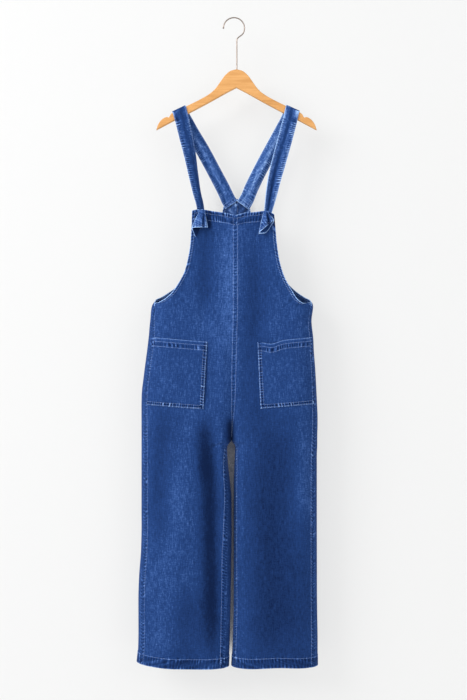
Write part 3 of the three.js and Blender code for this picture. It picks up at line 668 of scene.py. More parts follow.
def panel_relief(panel):
    side, face = panel.side, panel.face
    relief = Relief(panel.start.shape)
    seed = 11 + 40 * (side == "right") + 80 * (face == "back")
    rows = np.arange(len(panel.points))[:, None]
    above = smooth((panel.armhole + 8 - rows) / 12)
    below = 1 - above
    trunk = smooth((panel.marks["crotch"] + 4 - rows) / 8)
    relief.middle_seam(panel.start, SIGNS[side] * panel.start, panel.down, len(face), where=trunk)
    overlap = 0.9 if face == "front" else 0.65
    relief.seam(panel.start, panel.down, seed + 4, where=(1 - trunk) * overlap)
    relief.seam(panel.end, panel.down, seed + 8, where=below * overlap)
    relief.turned_edge(panel.end, panel.down, NARROW_HEM, seed + 12, where=above)
    relief.wear_and_shade += 2.2 * bump(panel.end, 2.6) * above * bump((rows - panel.armhole) * ROW_STEP, 75)
    relief.wide_hem(panel.up, panel.start, seed + 16)
    relief.wear_and_shade += panel.faded
    if face == "front":
        relief.wide_hem(panel.down, panel.start, seed + 20)
    else:
        relief.turned_edge(panel.down, panel.start, NARROW_HEM, seed + 24)
        relief.wear_and_shade += 2.2 * uneven(panel.start + 0.7 * panel.down, 7, seed + 30) * bump(panel.down, 40)
    return relief


def border(columns, top, bottom, left, right):
    """Indices round a rectangle of a net's points, corners once each."""
    loop = [top * columns + c for c in range(left, right)]
    loop += [r * columns + right for r in range(top, bottom)]
    loop += [bottom * columns + c for c in range(right, left, -1)]
    loop += [r * columns + left for r in range(bottom, top, -1)]
    return loop


def net_faces(rows, columns, skip=None):
    r, c = np.meshgrid(np.arange(rows - 1), np.arange(columns - 1), indexing="ij")
    keep = np.ones(r.shape, bool)
    if skip:
        top, bottom, left, right = skip
        keep[top:bottom, left:right] = False
    first = (r * columns + c)[keep]
    return np.stack([first, first + columns, first + columns + 1, first + 1], axis=-1)


def wall_faces(shape, kept_rows, kept_columns, hole=None):
    """Faces of a closed wall whose inner side keeps only some rows and columns of its outer side."""
    rows, columns = shape
    base = rows * columns
    inner_rows, inner_columns = len(kept_rows), len(kept_columns)
    frames = [((0, rows - 1, 0, columns - 1), (0, inner_rows - 1, 0, inner_columns - 1), 1)]
    inner_hole = None
    if hole:
        inner_hole = [kept_rows.index(r) for r in hole[:2]] + [kept_columns.index(c) for c in hole[2:]]
        frames.append((hole, inner_hole, -1))
    outer = net_faces(rows, columns, hole)
    inner = net_faces(inner_rows, inner_columns, inner_hole)[:, ::-1] + base
    corners = []
    for fine_frame, coarse_frame, turn in frames:
        fine = border(columns, *fine_frame)
        coarse = border(inner_columns, *coarse_frame)
        order = {place: i for i, place in enumerate(fine)}
        matching = [
            order[kept_rows[i // inner_columns] * columns + kept_columns[i % inner_columns]] for i in coarse
        ]
        for j, here in enumerate(coarse):
            following = (j + 1) % len(coarse)
            steps = (matching[following] - matching[j]) % len(fine)
            run = [fine[(matching[j] + m) % len(fine)] for m in range(steps + 1)]
            made = [(run[m], run[m + 1], base + here) for m in range(steps)]
            made.append((run[steps], base + coarse[following], base + here))
            corners += [face[::turn] for face in made]
    return np.concatenate([outer, inner]), np.array(corners)


def new_object(name, data):
    """An object in the scene that holds a mesh, a lamp or a camera."""
    made = bpy.data.objects.new(name, data)
    bpy.context.scene.collection.objects.link(made)
    return made


def make_mesh(name, points, quads, corners, attributes, material):
    """A mesh object from points in millimetres from the hanger's middle, with values for its material."""
    mesh = bpy.data.meshes.new(name)
    quads, corners = outward_faces(points, quads, corners)
    vertices = (points + [HOOK_OFFSET, 0, 0]) * MM
    loops = np.concatenate([quads.ravel(), corners.ravel()])
    sizes = np.concatenate([np.full(len(quads), 4), np.full(len(corners), 3)])
    mesh.vertices.add(len(vertices))
    mesh.vertices.foreach_set("co", vertices.ravel())
    mesh.loops.add(len(loops))
    mesh.loops.foreach_set("vertex_index", loops)
    mesh.polygons.add(len(sizes))
    mesh.polygons.foreach_set("loop_start", np.cumsum(sizes) - sizes)
    mesh.polygons.foreach_set("loop_total", sizes)
    mesh.update(calc_edges=True)
    mesh.validate()
    for key, values in attributes.items():
        kind, field = ("FLOAT_VECTOR", "vector") if values.ndim == 2 else ("FLOAT", "value")
        mesh.attributes.new(key, kind, "POINT").data.foreach_set(field, values.ravel())
    mesh.materials.append(material)
    mesh.polygons.foreach_set("use_smooth", np.full(len(sizes), True))
    piece = new_object(name, mesh)
    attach(piece, "root")
    return piece


def outward_faces(points, quads, corners):
    """The same faces, turned so that they point out of the closed body."""
    volume = 0
    for faces in (quads[:, [0, 1, 2]], quads[:, [0, 2, 3]], corners):
        a, b, c = points[faces[:, 0]], points[faces[:, 1]], points[faces[:, 2]]
        volume += np.einsum("ij,ij->i", a, np.cross(b, c)).sum()
    if volume < 0:
        return quads[:, ::-1], corners[:, ::-1]
    return quads, corners


def cloth_wall(name, net, relief, hole=None, base=CLOTH / 2, backing=CLOTH / 2):
    """A thin closed shell of cloth, fine outside and coarser inside."""
    net.outer = net.points + net.normals * (base + relief.height)[..., None]
    net.inner = net.points - net.normals * backing
    rows = getattr(net, "kept_rows", kept(net.points.shape[0]))
    columns = getattr(net, "kept_columns", kept(net.points.shape[1]))
    at = np.ix_(rows, columns)
    quads, corners = wall_faces(net.start.shape, rows, columns, hole)
    weave = np.insert(net.weave, 2, 0, axis=2) * MM
    inside = np.zeros_like(relief.wear_and_shade)
    sides = ((net.outer, net.inner), (weave, weave), (relief.wear_and_shade, relief.wear_and_shade), (inside, inside + 1))
    points, cloth, wear_and_shade, inside = (
        np.concatenate([outer.reshape(-1, *outer.shape[2:]), inner[at].reshape(-1, *inner.shape[2:])])
        for outer, inner in sides
    )
    attributes = {"cloth": cloth, "wear_and_shade": wear_and_shade, "inside": inside}
    return make_mesh(name, points, quads, corners, attributes, DENIM)


def cloth_values(places, wear_and_shade):
    """What the denim reads at the points of a piece whose every side shows its face."""
    return {"cloth": places.reshape(-1, 3) * MM, "wear_and_shade": wear_and_shade.ravel(), "inside": np.zeros(wear_and_shade.size)}


def line_down(net, field, value, first=0, last=None, inside=False):
    """The points and normals, one for each row, where a field that changes along the row has a value."""
    places, normals = (net.inner, -net.normals) if inside else (net.outer, net.normals)
    found = []
    for r in range(len(field))[first:last]:
        order = np.argsort(field[r])
        both = np.concatenate([places[r, order], normals[r, order]], axis=-1)
        found.append(values_at(value, field[r, order], both))
    found = np.array(found)
    return found[:, :3], unit(found[:, 3:])


def turned_net(net):
    """The same net with its rows as columns."""
    swapped = copy.copy(net)
    for name in ("outer", "inner", "normals"):
        setattr(swapped, name, getattr(net, name).swapaxes(0, 1))
    return swapped


def line_across(net, field, value, first=0, last=None, inside=False):
    """The same, one for each column, for a field that changes down the columns."""
    return line_down(turned_net(net), field.T, value, first, last, inside)


STITCH_SIDES = 4
STITCH_RINGS = [(-1, 0.45, -0.4), (-0.6, 1, 0.1), (0.6, 1, 0.1), (1, 0.45, -0.4)]


def tube_faces(count, sides):
    """Faces of a closed tube through rings of points, with a fan of triangles over each end."""
    i = np.arange(sides)
    j = (i + 1) % sides
    ring = np.stack([i, j, j + sides, i + sides], axis=-1)
    quads = np.concatenate([ring + k * sides for k in range(count - 1)])
    fan = np.stack([0 * i[2:], i[1:-1], i[2:]], axis=-1)
    return quads, np.concatenate([fan[:, ::-1], fan + (count - 1) * sides])


def tube(name, rings, material, attributes):
    """A closed tube through rings of points."""
    quads, corners = tube_faces(*rings.shape[:2])
    return make_mesh(name, rings.reshape(-1, 3), quads, corners, attributes, material)


def stitch_rows(name, lines):
    """Sewing thread: each line of points becomes a row of short round stitches, joined in one mesh."""
    stations = []
    for points, normals in lines:
        lengths = lengths_along(points)
        places = np.arange(STITCH_PITCH / 2, lengths[-1] - STITCH_PITCH / 2, STITCH_PITCH)
        ahead = values_at(places + 1, lengths, points) - values_at(places - 1, lengths, points)
        facing = values_at(places, lengths, normals)
        stations.append([values_at(places, lengths, points), unit(ahead), unit(facing)])
    centres, tangents, normals = (np.concatenate(parts) for parts in zip(*stations))
    sides = unit(np.cross(tangents, normals))
    rings = []
    for along, size, lift in STITCH_RINGS:
        middle = centres + tangents * along * STITCH_LENGTH / 2 + normals * (lift + 0.55) * STITCH_RADIUS
        for angle in np.arange(STITCH_SIDES) * 2 * np.pi / STITCH_SIDES:
            spoke = sides * np.cos(angle) + normals * np.sin(angle)
            rings.append(middle + STITCH_RADIUS * size * spoke)
    points = np.stack(rings, axis=1).reshape(-1, 3)
    starts = np.arange(len(centres))[:, None, None] * len(rings)
    quads, corners = tube_faces(len(STITCH_RINGS), STITCH_SIDES)
    quads = (quads + starts).reshape(-1, 4)
    corners = (corners + starts).reshape(-1, 3)
    piece = make_mesh(name, points, quads, corners, {}, THREAD)


# Materials


class Nodes:
    """Short ways to add and join the nodes of one material."""

    def __init__(self, name):
        self.material = bpy.data.materials.new(name)
        self.material.use_nodes = True
        self.tree = self.material.node_tree
        self.shader = self.tree.nodes["Principled BSDF"]

    def add(self, kind, settings=None, **inputs):
        node = self.tree.nodes.new(kind)
        for key, value in (settings or {}).items():
            setattr(node, key, value)
        for key, value in inputs.items():
            self.set(node.inputs[key.replace("_", " ")], value)
        return node

    def set(self, socket, value):
        if isinstance(value, bpy.types.NodeSocket):
            self.tree.links.new(value, socket)
        else:
            socket.default_value = value

    def math(self, operation, *values):
        node = self.add("ShaderNodeMath", {"operation": operation})
        for socket, value in zip(node.inputs, values):
            self.set(socket, value)
        return node.outputs[0]

    def scaled(self, vector, scale, turn=0.0):
        node = self.add("ShaderNodeMapping", Vector=vector, Scale=scale, Rotation=(0, 0, turn))
        return node.outputs[0]

    def noise(self, vector, detail, roughness, scale=1.0):
        node = self.add("ShaderNodeTexNoise", Vector=vector, Scale=scale, Detail=detail, Roughness=roughness)
        return node.outputs["Fac"]

    def attribute(self, name, output="Fac"):
        return self.add("ShaderNodeAttribute", {"attribute_name": name}).outputs[output]

    def blend(self, factor, a, b):
        return self.add("ShaderNodeMix", {"data_type": "RGBA"}, Factor=factor, A=a, B=b).outputs["Result"]

    def ramp(self, value, stops):
        node = self.tree.nodes.new("ShaderNodeValToRGB")
        elements = node.color_ramp.elements
        while len(elements) < len(stops):
            elements.new(0.5)
        for element, (place, color) in zip(elements, stops):
            element.position = place
            element.color = (*color, 1)
        self.set(node.inputs[0], value)
        return node.outputs[0]

    def finish(self, **inputs):
        for key, value in inputs.items():
            self.set(self.shader.inputs[key.replace("_", " ")], value)
        return self.material


INDIGO_DEEP = (0.0005, 0.009, 0.046)
INDIGO = (0.0092, 0.036, 0.138)
INDIGO_LIGHT = (0.042, 0.1, 0.285)
INDIGO_PALE = (0.27, 0.42, 0.7)
WEFT = (0.16, 0.24, 0.42)
TWILL_PITCH = 0.0011


def denim():
    n = Nodes("denim")
    cloth = n.attribute("cloth", "Vector")
    wear_and_shade = n.attribute("wear_and_shade")
    inside = n.attribute("inside")
    heather = n.noise(n.scaled(cloth, (900, 240, 1)), 3, 0.65)
    streak = n.noise(n.scaled(cloth, (430, 70, 1)), 1, 0.5)
    slub = n.noise(n.scaled(cloth, (170, 24, 1)), 1, 0.5)
    cross = n.noise(n.scaled(cloth, (90, 420, 1)), 1, 0.5)
    cloud = n.noise(n.scaled(cloth, (11, 7, 1)), 3, 0.55)
    diagonal = n.add(
        "ShaderNodeTexWave",
        {"wave_type": "BANDS", "bands_direction": "X", "wave_profile": "SIN"},
        Vector=n.scaled(cloth, (1, 1, 1), 1.05),
        Scale=0.314 / TWILL_PITCH,
        Distortion=0.6,
        Detail=1.0,
    ).outputs["Fac"]
    # Wear and painted shade alike make the indigo lighter or darker.
    value = n.math("MULTIPLY_ADD", wear_and_shade, 0.27, 0.4)
    parts = ((0.5, heather), (0.42, streak), (0.2, slub), (0.3, cross), (0.2, cloud), (0.06, diagonal))
    for amount, source in parts:
        centred = n.math("SUBTRACT", source, 0.5)
        value = n.math("ADD", value, n.math("MULTIPLY", centred, amount))
    color = n.ramp(value, [
        (0.0, INDIGO_DEEP),
        (0.42, INDIGO),
        (0.62, INDIGO_LIGHT),
        (0.9, INDIGO_PALE),
    ])
    reverse = n.blend(n.math("MULTIPLY", inside, 0.05), color, (*WEFT, 1))
    grain = n.math("ADD", n.math("MULTIPLY", heather, 0.5), n.math("MULTIPLY", diagonal, 0.6))
    relief = n.add("ShaderNodeBump", Strength=0.45, Distance=0.00035, Height=grain)
    return n.finish(
        Base_Color=reverse,
        Roughness=n.math("MULTIPLY_ADD", heather, 0.2, 0.76),
        Normal=relief.outputs[0],
        Sheen_Weight=0.03,
        Sheen_Roughness=0.5,
        Sheen_Tint=(0.55, 0.68, 1, 1),
        Specular_IOR_Level=0.1,
    )


def thread():
    n = Nodes("thread")
    place = n.add("ShaderNodeTexCoord").outputs["Object"]
    tone = n.noise(place, 2, 0.6, 260)
    color = n.ramp(tone, [(0.25, (0.04, 0.09, 0.24)), (0.5, (0.12, 0.2, 0.4)), (0.75, (0.3, 0.4, 0.62))])
    return n.finish(Base_Color=color, Roughness=0.7, Sheen_Weight=0.2)


def wood():
    n = Nodes("wood")
    place = n.add("ShaderNodeTexCoord").outputs["Object"]
    grain = n.noise(n.scaled(place, (14, 220, 240)), 5, 0.6)
    band = n.noise(n.scaled(place, (5, 60, 46)), 3, 0.5)
    tone = n.math("ADD", n.math("MULTIPLY", grain, 0.6), n.math("MULTIPLY", band, 0.4))
    color = n.ramp(tone, [
        (0.32, (0.4, 0.18, 0.046)),
        (0.5, (0.51, 0.25, 0.078)),
        (0.68, (0.59, 0.31, 0.11)),
    ])
    relief = n.add("ShaderNodeBump", Strength=0.15, Distance=0.0002, Height=grain)
    return n.finish(
        Base_Color=color,
        Roughness=0.6,
        Normal=relief.outputs[0],
        Specular_IOR_Level=0.3,
    )


def wire():
    n = Nodes("wire")
    place = n.add("ShaderNodeTexCoord").outputs["Object"]
    tone = n.noise(n.scaled(place, (400, 400, 60)), 3, 0.6)
    color = n.ramp(tone, [(0.3, (0.19, 0.15, 0.125)), (0.7, (0.32, 0.26, 0.225))])
    return n.finish(Base_Color=color, Roughness=n.math("MULTIPLY_ADD", tone, 0.16, 0.3), Metallic=1.0)


def plain(name, color):
    return Nodes(name).finish(Base_Color=(*color, 1), Roughness=0.9)


DENIM, THREAD, WOOD, WIRE = denim(), thread(), wood(), wire()

# Panels
SLIT = {"x": {"left": -91, "right": 77}, "width": 13, "height": 7, "drop": 516}


def slit_hole(panel):
    """The block of rows and columns that lies nearest to the strap's slit near the bib's top corner."""
    x, z = panel.points[..., 0], panel.points[..., 2]
    places = np.array(panel.kept_columns)
    column = places[np.argmin(np.abs(x[0, places] - SLIT["x"][panel.side]))]
    row = int(np.argmin(np.abs(z[:, column] + SLIT["drop"] - SLIT["height"] / 2)))
    inside = np.abs(x[row, places] - SLIT["x"][panel.side]) <= SLIT["width"] / 2
    columns = places[np.flatnonzero(inside)]
    return row, row + round(SLIT["height"] / ROW_STEP), int(columns[0]), int(columns[-1])


PANELS = {}
for side in ("left", "right"):
    for face in ("front", "back"):
        panel = panel_net(side, face)
        PANELS[side, face] = panel
        hole = slit_hole(panel) if face == "front" else None
        name = f"{face}_{side}_cloth"
        piece = cloth_wall(name, panel, panel_relief(panel), hole=hole)
        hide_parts(f"{face}_{side}")


def panel_threads(panel):
    """Rows of thread: at the middle and the hem, down the armhole, and along the top on both sides."""
    crotch, armhole = panel.marks["crotch"], panel.armhole
    front = panel.face == "front"
    top_depths, last = ((HEM_STITCH, 9), -4) if front else ((NARROW_STITCH, 2.5), -1)
    lines = [
        line_down(panel, panel.start, MIDDLE_STITCH, 4, crotch - 2),
        line_across(panel, panel.up, HEM_STITCH, 1, -1),
    ]
    for inside in (False, True):
        lines.append(line_down(panel, panel.end, NARROW_STITCH, 4, armhole - ARMHOLE_ROWS, inside))
        lines += [line_across(panel, panel.down, depth, 1, last, inside) for depth in top_depths]
    if front:
        lines.append(line_down(panel, panel.start, TOPSTITCH, crotch + 12, -2))
        lines.append(line_down(panel, panel.end, TOPSTITCH, armhole + 10, -2))
    stitch_rows(f"{panel.face}_{panel.side}_stitches", lines)


for panel in PANELS.values():
    panel_threads(panel)

# Pockets
POCKET_EDGES = {"left": (75.5, 85), "right": (54, 61.5)}
POCKET_BAND = 24
POCKET_BAND_STITCHES = (21.5, 9.5)
POCKET_EDGE_STITCHES = (2.2, 8.6)
POCKET_STEP = 2.0
POCKET_GAP = 0.25
POCKET_COLUMNS = {"left": 78, "right": 75}
GAPE = {"side": "right", "x": 90, "width": 20, "out": 3.4, "sag": 7, "fade": 55}


def sample_net(values, rows, columns):
    """Values of a net at fractional rows and columns."""
    r = np.clip(np.floor(rows).astype(int), 0, values.shape[0] - 2)
    c = np.clip(np.floor(columns).astype(int), 0, values.shape[1] - 2)
    t, s = (rows - r)[..., None], (columns - c)[..., None]
    upper = mix(values[r, c], values[r, c + 1], s)
    lower = mix(values[r + 1, c], values[r + 1, c + 1], s)
    return mix(upper, lower, t)


def pocket_net(side):
    """A pocket's net, made from the points of the panel that it lies on, moved out."""
    panel = PANELS[side, "front"]
    top, bottom = panel.marks["mouth"], panel.marks["pocket_bottom"]
    depth = (bottom - top) * ROW_STEP
    count = int(round(depth / POCKET_STEP / BACKING)) * BACKING
    rows = np.zeros((count + 1, POCKET_COLUMNS[side] + 1))
    columns = np.zeros_like(rows)
    lift = np.zeros_like(rows)
    for i, down in enumerate(np.linspace(0, 1, count + 1)):
        row = mix(top, bottom, down)
        line = panel.points[int(round(row)), :, 0]
        arc = panel.start[int(round(row))]
        start = np.interp(mix(*POCKET_EDGES[side], down), np.abs(line), arc)
        arcs = np.linspace(start, arc[-1] - 1, rows.shape[1])
        columns[i] = np.interp(arcs, arc, np.arange(len(arc)))
        x = np.abs(np.interp(arcs, arc, line))
        near = bump(x - GAPE["x"], GAPE["width"]) * (side == GAPE["side"])
        fade = max(0, 1 - down * depth / GAPE["fade"])
        rows[i] = row + GAPE["sag"] * near * fade * fade / ROW_STEP
        lift[i] = GAPE["out"] * near * fade
    normals = unit(sample_net(panel.normals, rows, columns))
    points = sample_net(panel.outer, rows, columns) + normals * (POCKET_GAP + lift)[..., None]
    return Net(points, panel.outward)


def pocket_relief(net, seed):
    """The turned edges, the band at the mouth, and a slight belly."""
    relief = Relief(net.start.shape)
    relief.seam(net.end, net.down, seed, raised=0.2, where=0.7)
    relief.turned_edge(net.start, net.down, 10, seed + 5, raised=0.25)
    relief.turned_edge(net.up, net.start, 10, seed + 10, raised=0.25)
    relief.ropes(net.start, net.down, 5.4, 3.4, seed + 20, shade=2.2, pitch=6)
    relief.ropes(net.up, net.start, 5.4, 3.4, seed + 25, shade=2.6, pitch=6)
    relief.height += 0.8 * smooth((POCKET_BAND + 1 - net.down) / 2)
    relief.wear_and_shade += 1.3 * bump(net.down, 1.6)
    for depth in POCKET_BAND_STITCHES:
        relief.stitched(net.down - depth)
    relief.ropes(net.down, net.start, 16, 5, seed + 15)
    relief.height += 1.1 * bump(net.up - 60, 50) * smooth(net.start / 30) * smooth(net.end / 30)
    return relief


def pocket(side):
    net = pocket_net(side)
    relief = pocket_relief(net, 301 + 50 * (side == "right"))
    piece = cloth_wall(f"pocket_{side}_cloth", net, relief, base=CLOTH, backing=0)
    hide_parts(f"pocket_{side}")
    near, far = POCKET_EDGE_STITCHES
    lines = [
        line_down(net, net.start, near, 1, -1),
        line_down(net, net.start, far, 9, -4),
        line_across(net, net.up, near, 1, -1),
        line_across(net, net.up, far, 4, -2),
        line_down(net, net.end, 6, 1, -1),
    ]
    lines += [line_across(net, net.down, depth, 1, -1) for depth in POCKET_BAND_STITCHES]
    stitch_rows(f"pocket_{side}_stitches", lines)


for side in ("left", "right"):
    pocket(side)

# Hanger
BAR_THICKNESS = 12
BAR_ROUND = 2.5
BAR_CLEARANCE = 0.7
BAR_UPPER = table("x drop", [
    (0, 133.6),
    (14, 137),
    (29, 148.5),
    (42, 166),
    (55, 184),
    (71, 198),
    (95, 212),
    (128, 228.5),
    (170, 249.5),
])
BAR_TIP = table("x drop", [
    (176, 258.5),
    (181, 257.5),
    (190, 261),
    (198, 268.5),
    (204, 278),
    (208, 289.5),
])
BAR_LOWER = table("x drop", [
    (0, 181),
    (28, 195.5),
    (70, 219),
    (120, 245.5),
    (163, 267),
    (208.2, 291),
])
TIP_X = 208.2
TIP_ROUND = 4
BAR_CORNER_STEPS = 6
BAR_FLAT = 0.6

WIRE_RADIUS = 1.6
WIRE_SIDES = 14
HOOK_RADIUS = 27.4
HOOK_FROM, HOOK_TO, HOOK_STEP = -28, 185, 12
STEM_X = 1
STEM_DROPS = (155.6, 137.6, 108, 82, 62, 56)
BALL_RADIUS = 2.3
BALL_RINGS = 12


def line_of(rows):
    return smooth_curve([row["x"] for row in rows], [row["drop"] for row in rows])


bar_top = line_of(BAR_UPPER + BAR_TIP)
bar_bottom = line_of(BAR_LOWER)


def bar_section(x):
    """A rounded upright section of the bar, x millimetres out from its middle."""
    top, bottom = float(bar_top(x)), float(bar_bottom(x))
    near_tip = min(1, (TIP_X + 0.2 - x) / TIP_ROUND)
    half = BAR_THICKNESS / 2 * np.sqrt(1 - (1 - near_tip) ** 2)
    bend = min(BAR_ROUND, 0.45 * (bottom - top), 0.9 * half)
    support = min(BAR_FLAT, 0.1 * (bottom - top))
    points = []
    for front, turn in ((1, 0), (1, 90), (-1, 180), (-1, 270)):
        below = 0 < turn < 270
        middle_y, middle_drop = -front * (half - bend), bottom - bend if below else top + bend
        angles = np.radians(np.linspace(turn, turn + 90, BAR_CORNER_STEPS))
        arc = [(middle_y - bend * np.sin(a), middle_drop - bend * np.cos(a)) for a in angles]
        flat = [(-front * half, middle_drop - support if below else middle_drop + support)]
        points += arc + flat if turn in (0, 180) else flat + arc
    return [(x, y, -drop) for y, drop in points]


def hanger_bar():
    places = np.unique(np.concatenate([
        np.linspace(0, 170, 90),
        np.linspace(170, 186, 30),
        np.linspace(186, TIP_X, 30),
    ]))
    right = np.array([bar_section(x) for x in places])
    left = right[:0:-1] * [-1, 1, 1]
    bar = tube("hanger_bar_wood", np.concatenate([left, right]), WOOD, {})
    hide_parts("hanger_bar")


def hanger_hook():
    """The wire: a stem, a slant out to the side, and a round bend that ends on the left in a small ball."""
    centre = np.array([-HOOK_OFFSET, WIRE_RADIUS - HOOK_RADIUS])
    angles = np.radians(np.arange(HOOK_FROM, HOOK_TO, HOOK_STEP))
    bend = centre + HOOK_RADIUS * np.stack([np.cos(angles), np.sin(angles)], axis=-1)
    way = np.concatenate([[(STEM_X, -drop) for drop in STEM_DROPS], bend])
    keys = lengths_along(way)
    path = smooth_curve(keys, way, even=True)(np.linspace(0, keys[-1], 300))
    ahead = unit(np.gradient(path, axis=0))
    ball = np.linspace(0, np.pi, BALL_RINGS)
    tip = path[-1] + ahead[-1] * (1.2 - BALL_RADIUS * np.cos(ball))[:, None]
    wire_radii = np.full(len(path) + 1, WIRE_RADIUS)
    radii = np.concatenate([wire_radii, np.maximum(BALL_RADIUS * np.sin(ball[1:]), 0.05)])[:, None]
    path = np.concatenate([path, tip])
    ahead = np.concatenate([ahead, np.repeat(ahead[-1:], BALL_RINGS, axis=0)])
    turn = np.arange(WIRE_SIDES) * 2 * np.pi / WIRE_SIDES
    points = np.stack([
        path[:, :1] + radii * np.cos(turn) * ahead[:, 1:],
        radii * np.sin(turn),
        path[:, 1:] - radii * np.cos(turn) * ahead[:, :1],
    ], axis=-1)
    hook = tube("hanger_hook_wire", points, WIRE, {})
    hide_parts("hanger_hook")


hanger_bar()
hanger_hook()


# Where each strap crosses the bar, and the way it takes down the front and down the back.
# curl is how far the band is bent lengthwise, in degrees, and fold is where across its width.
# A positive bend turns the band's right part back, away from its outer side.
STRAP_WIDTH = 38
STRAP_THICKNESS = 2.4
STRAP_COLUMNS = "x y drop tilt width curl fold"
STRAPS = {
    "left": {
        "crossing": -149,
        "front": table(STRAP_COLUMNS, [
            (-93, -22, 517.2, 0, 19, 0, 0.6),
            (-93, -18.4, 516.6, 0, 19, 0, 0.6),
            (-93, -15.8, 511, 0, 18.5, 20, 0.6),
            (-93.5, -14.4, 498, 4, 18, 70, 0.6),
            (-104, -13.6, 452, 10, 20, 105, 0.6),
            (-112, -12.8, 410, 12, 24, 95, 0.62),
            (-122, -11.6, 352, 14, 31, 62, 0.62),
            (-131, -10.2, 310, 16, 35, 36, 0.6),
            (-141.5, -8.4, 264, 22, 37, 14, 0.5),
        ]),
        "back": table(STRAP_COLUMNS, [
            (-132, 8.2, 268, 28, 38, -10, 0.5),
            (-119, 9.4, 290, 29, 37, -36, 0.5),
            (-90, 12, 337, 30, 36, -62, 0.48),
            (-57, 14, 398, 31, 36, -50, 0.46),
            (-35, 15, 440, 33, 37, -24, 0.46),
            (-17, 14.2, 477, 36, 38, 0, 0.5),
            (-13, 13, 483, 36, 38, 0, 0.5),
        ]),
    },
    "right": {
        "crossing": 146,
        "front": table(STRAP_COLUMNS, [
            (80, -22, 517.2, 0, 19, 0, 0.46),
            (80, -18.4, 516.6, 0, 19, 0, 0.46),
            (80.5, -15, 511, 0, 19.5, -10, 0.46),
            (83, -12, 498, -6, 22, -56, 0.46),
            (91.5, -12.6, 453, -12, 30, -84, 0.44),
            (98.5, -12.4, 419, -13, 34, -66, 0.4),
            (108, -11.6, 382, -15, 37, -44, 0.36),
            (127, -10, 312, -18, 38, -24, 0.4),
            (138.5, -8.4, 268, -23, 38, -10, 0.5),
        ]),
        "back": table(STRAP_COLUMNS, [
            (130, 8.2, 270, -28, 38, -10, 0.5),
            (116, 9.4, 294, -29, 37, -30, 0.52),
            (89, 12, 342, -30, 36, -52, 0.56),
            (62, 13.8, 392, -31, 36, -48, 0.58),
            (40.5, 15, 436, -33, 37, -24, 0.56),
            (21.5, 14.2, 478, -36, 38, 0, 0.5),
            (17, 13, 484.5, -36, 38, 0, 0.5),
        ]),
    },
}

STRAP_STEP = 1.5
STRAP_ROPE = 5.2
STRAP_EDGE = [0, 0.35, 0.9, 1.7, 2.3, 3, 3.7, 4.6, 6, 8]
STRAP_STITCH = 3
STRAP_TONE = {"left": 0.25, "right": 0.6}
STRAP_SAMPLES = 400
ROUND_STEPS = 14
FOLD_SOFTNESS = 0.13
NAPE_STITCHES = (4.4, 11)


def places_across_strap():
    """Columns across a band, close together by both edges."""
    edge = np.array(STRAP_EDGE)
    middle = np.linspace(edge[-1], STRAP_WIDTH - edge[-1], 21)[1:-1]
    return np.concatenate([edge, middle, (STRAP_WIDTH - edge)[::-1]])


STRAP_ACROSS = places_across_strap()


def strap_way(rows):
    """Closely spaced stations between the table's rows: their points and their other columns."""
    way = np.array([(row["x"], row["y"], -row["drop"]) for row in rows], float)
    keys = lengths_along(way)
    places = np.linspace(0, keys[-1], int(keys[-1] / STRAP_STEP))
    points = smooth_curve(keys, way, even=True)(places)
    names = STRAP_COLUMNS.split()[3:]
    columns = [smooth_curve(keys, [row[name] for row in rows])(places) for name in names]
    return np.column_stack([points] + columns)


def over_bar(x):
    """The strap's way over the bar: flat on top, with a round at each edge of the wood."""
    reach = STRAP_WIDTH / 2 - 2
    fall = bar_top(abs(x) + reach) - bar_top(abs(x) - reach)
    angle = -np.sign(x) * np.arctan(fall / (2 * reach))
    up = np.array([-np.sin(angle), 0, np.cos(angle)])
    centre = np.array([x, 0, -bar_top(abs(x))])
    flat = BAR_THICKNESS / 2 - BAR_ROUND
    radius = BAR_ROUND + BAR_CLEARANCE + STRAP_THICKNESS / 2
    front = [(-flat, turn) for turn in np.linspace(180, 90, ROUND_STEPS)]
    back = [(flat, turn) for turn in np.linspace(90, 0, ROUND_STEPS)]
    stations = []
    for y, turn in front + back:
        turn = np.radians(turn)
        point = centre + [0, y + radius * np.cos(turn), 0] + up * (radius * np.sin(turn) - BAR_ROUND)
        stations.append([*point, np.degrees(angle), STRAP_WIDTH, 0, 0.5])
    return np.array(stations)


def band_section(width, curl, fold):
    """Points across a band that is folded lengthwise, and its normals there, in the band's own plane."""
    fine = np.linspace(0, STRAP_WIDTH, STRAP_SAMPLES)
    bend = np.radians(curl) / (1 + np.exp(-(fine / STRAP_WIDTH - fold) / FOLD_SOFTNESS))
    a, b = np.cumsum(np.cos(bend)) * fine[1], -np.cumsum(np.sin(bend)) * fine[1]
    lean = np.arctan2(b[-1] - b[0], a[-1] - a[0]) * (1 if curl < 0 else 1 - smooth(curl / 60))
    a, b = a * np.cos(lean) + b * np.sin(lean), b * np.cos(lean) - a * np.sin(lean)
    scale = width / (a.max() - a.min())
    a, b = (a - (a.min() + a.max()) / 2) * scale, b * scale
    b = b - b[STRAP_SAMPLES // 2 if curl < 0 else 0]
    line = np.stack([a, b], axis=-1)
    slope = unit(values_at(STRAP_ACROSS, fine, np.gradient(line, axis=0)))
    return values_at(STRAP_ACROSS, fine, line), np.stack([-slope[:, 1], slope[:, 0]], axis=-1)


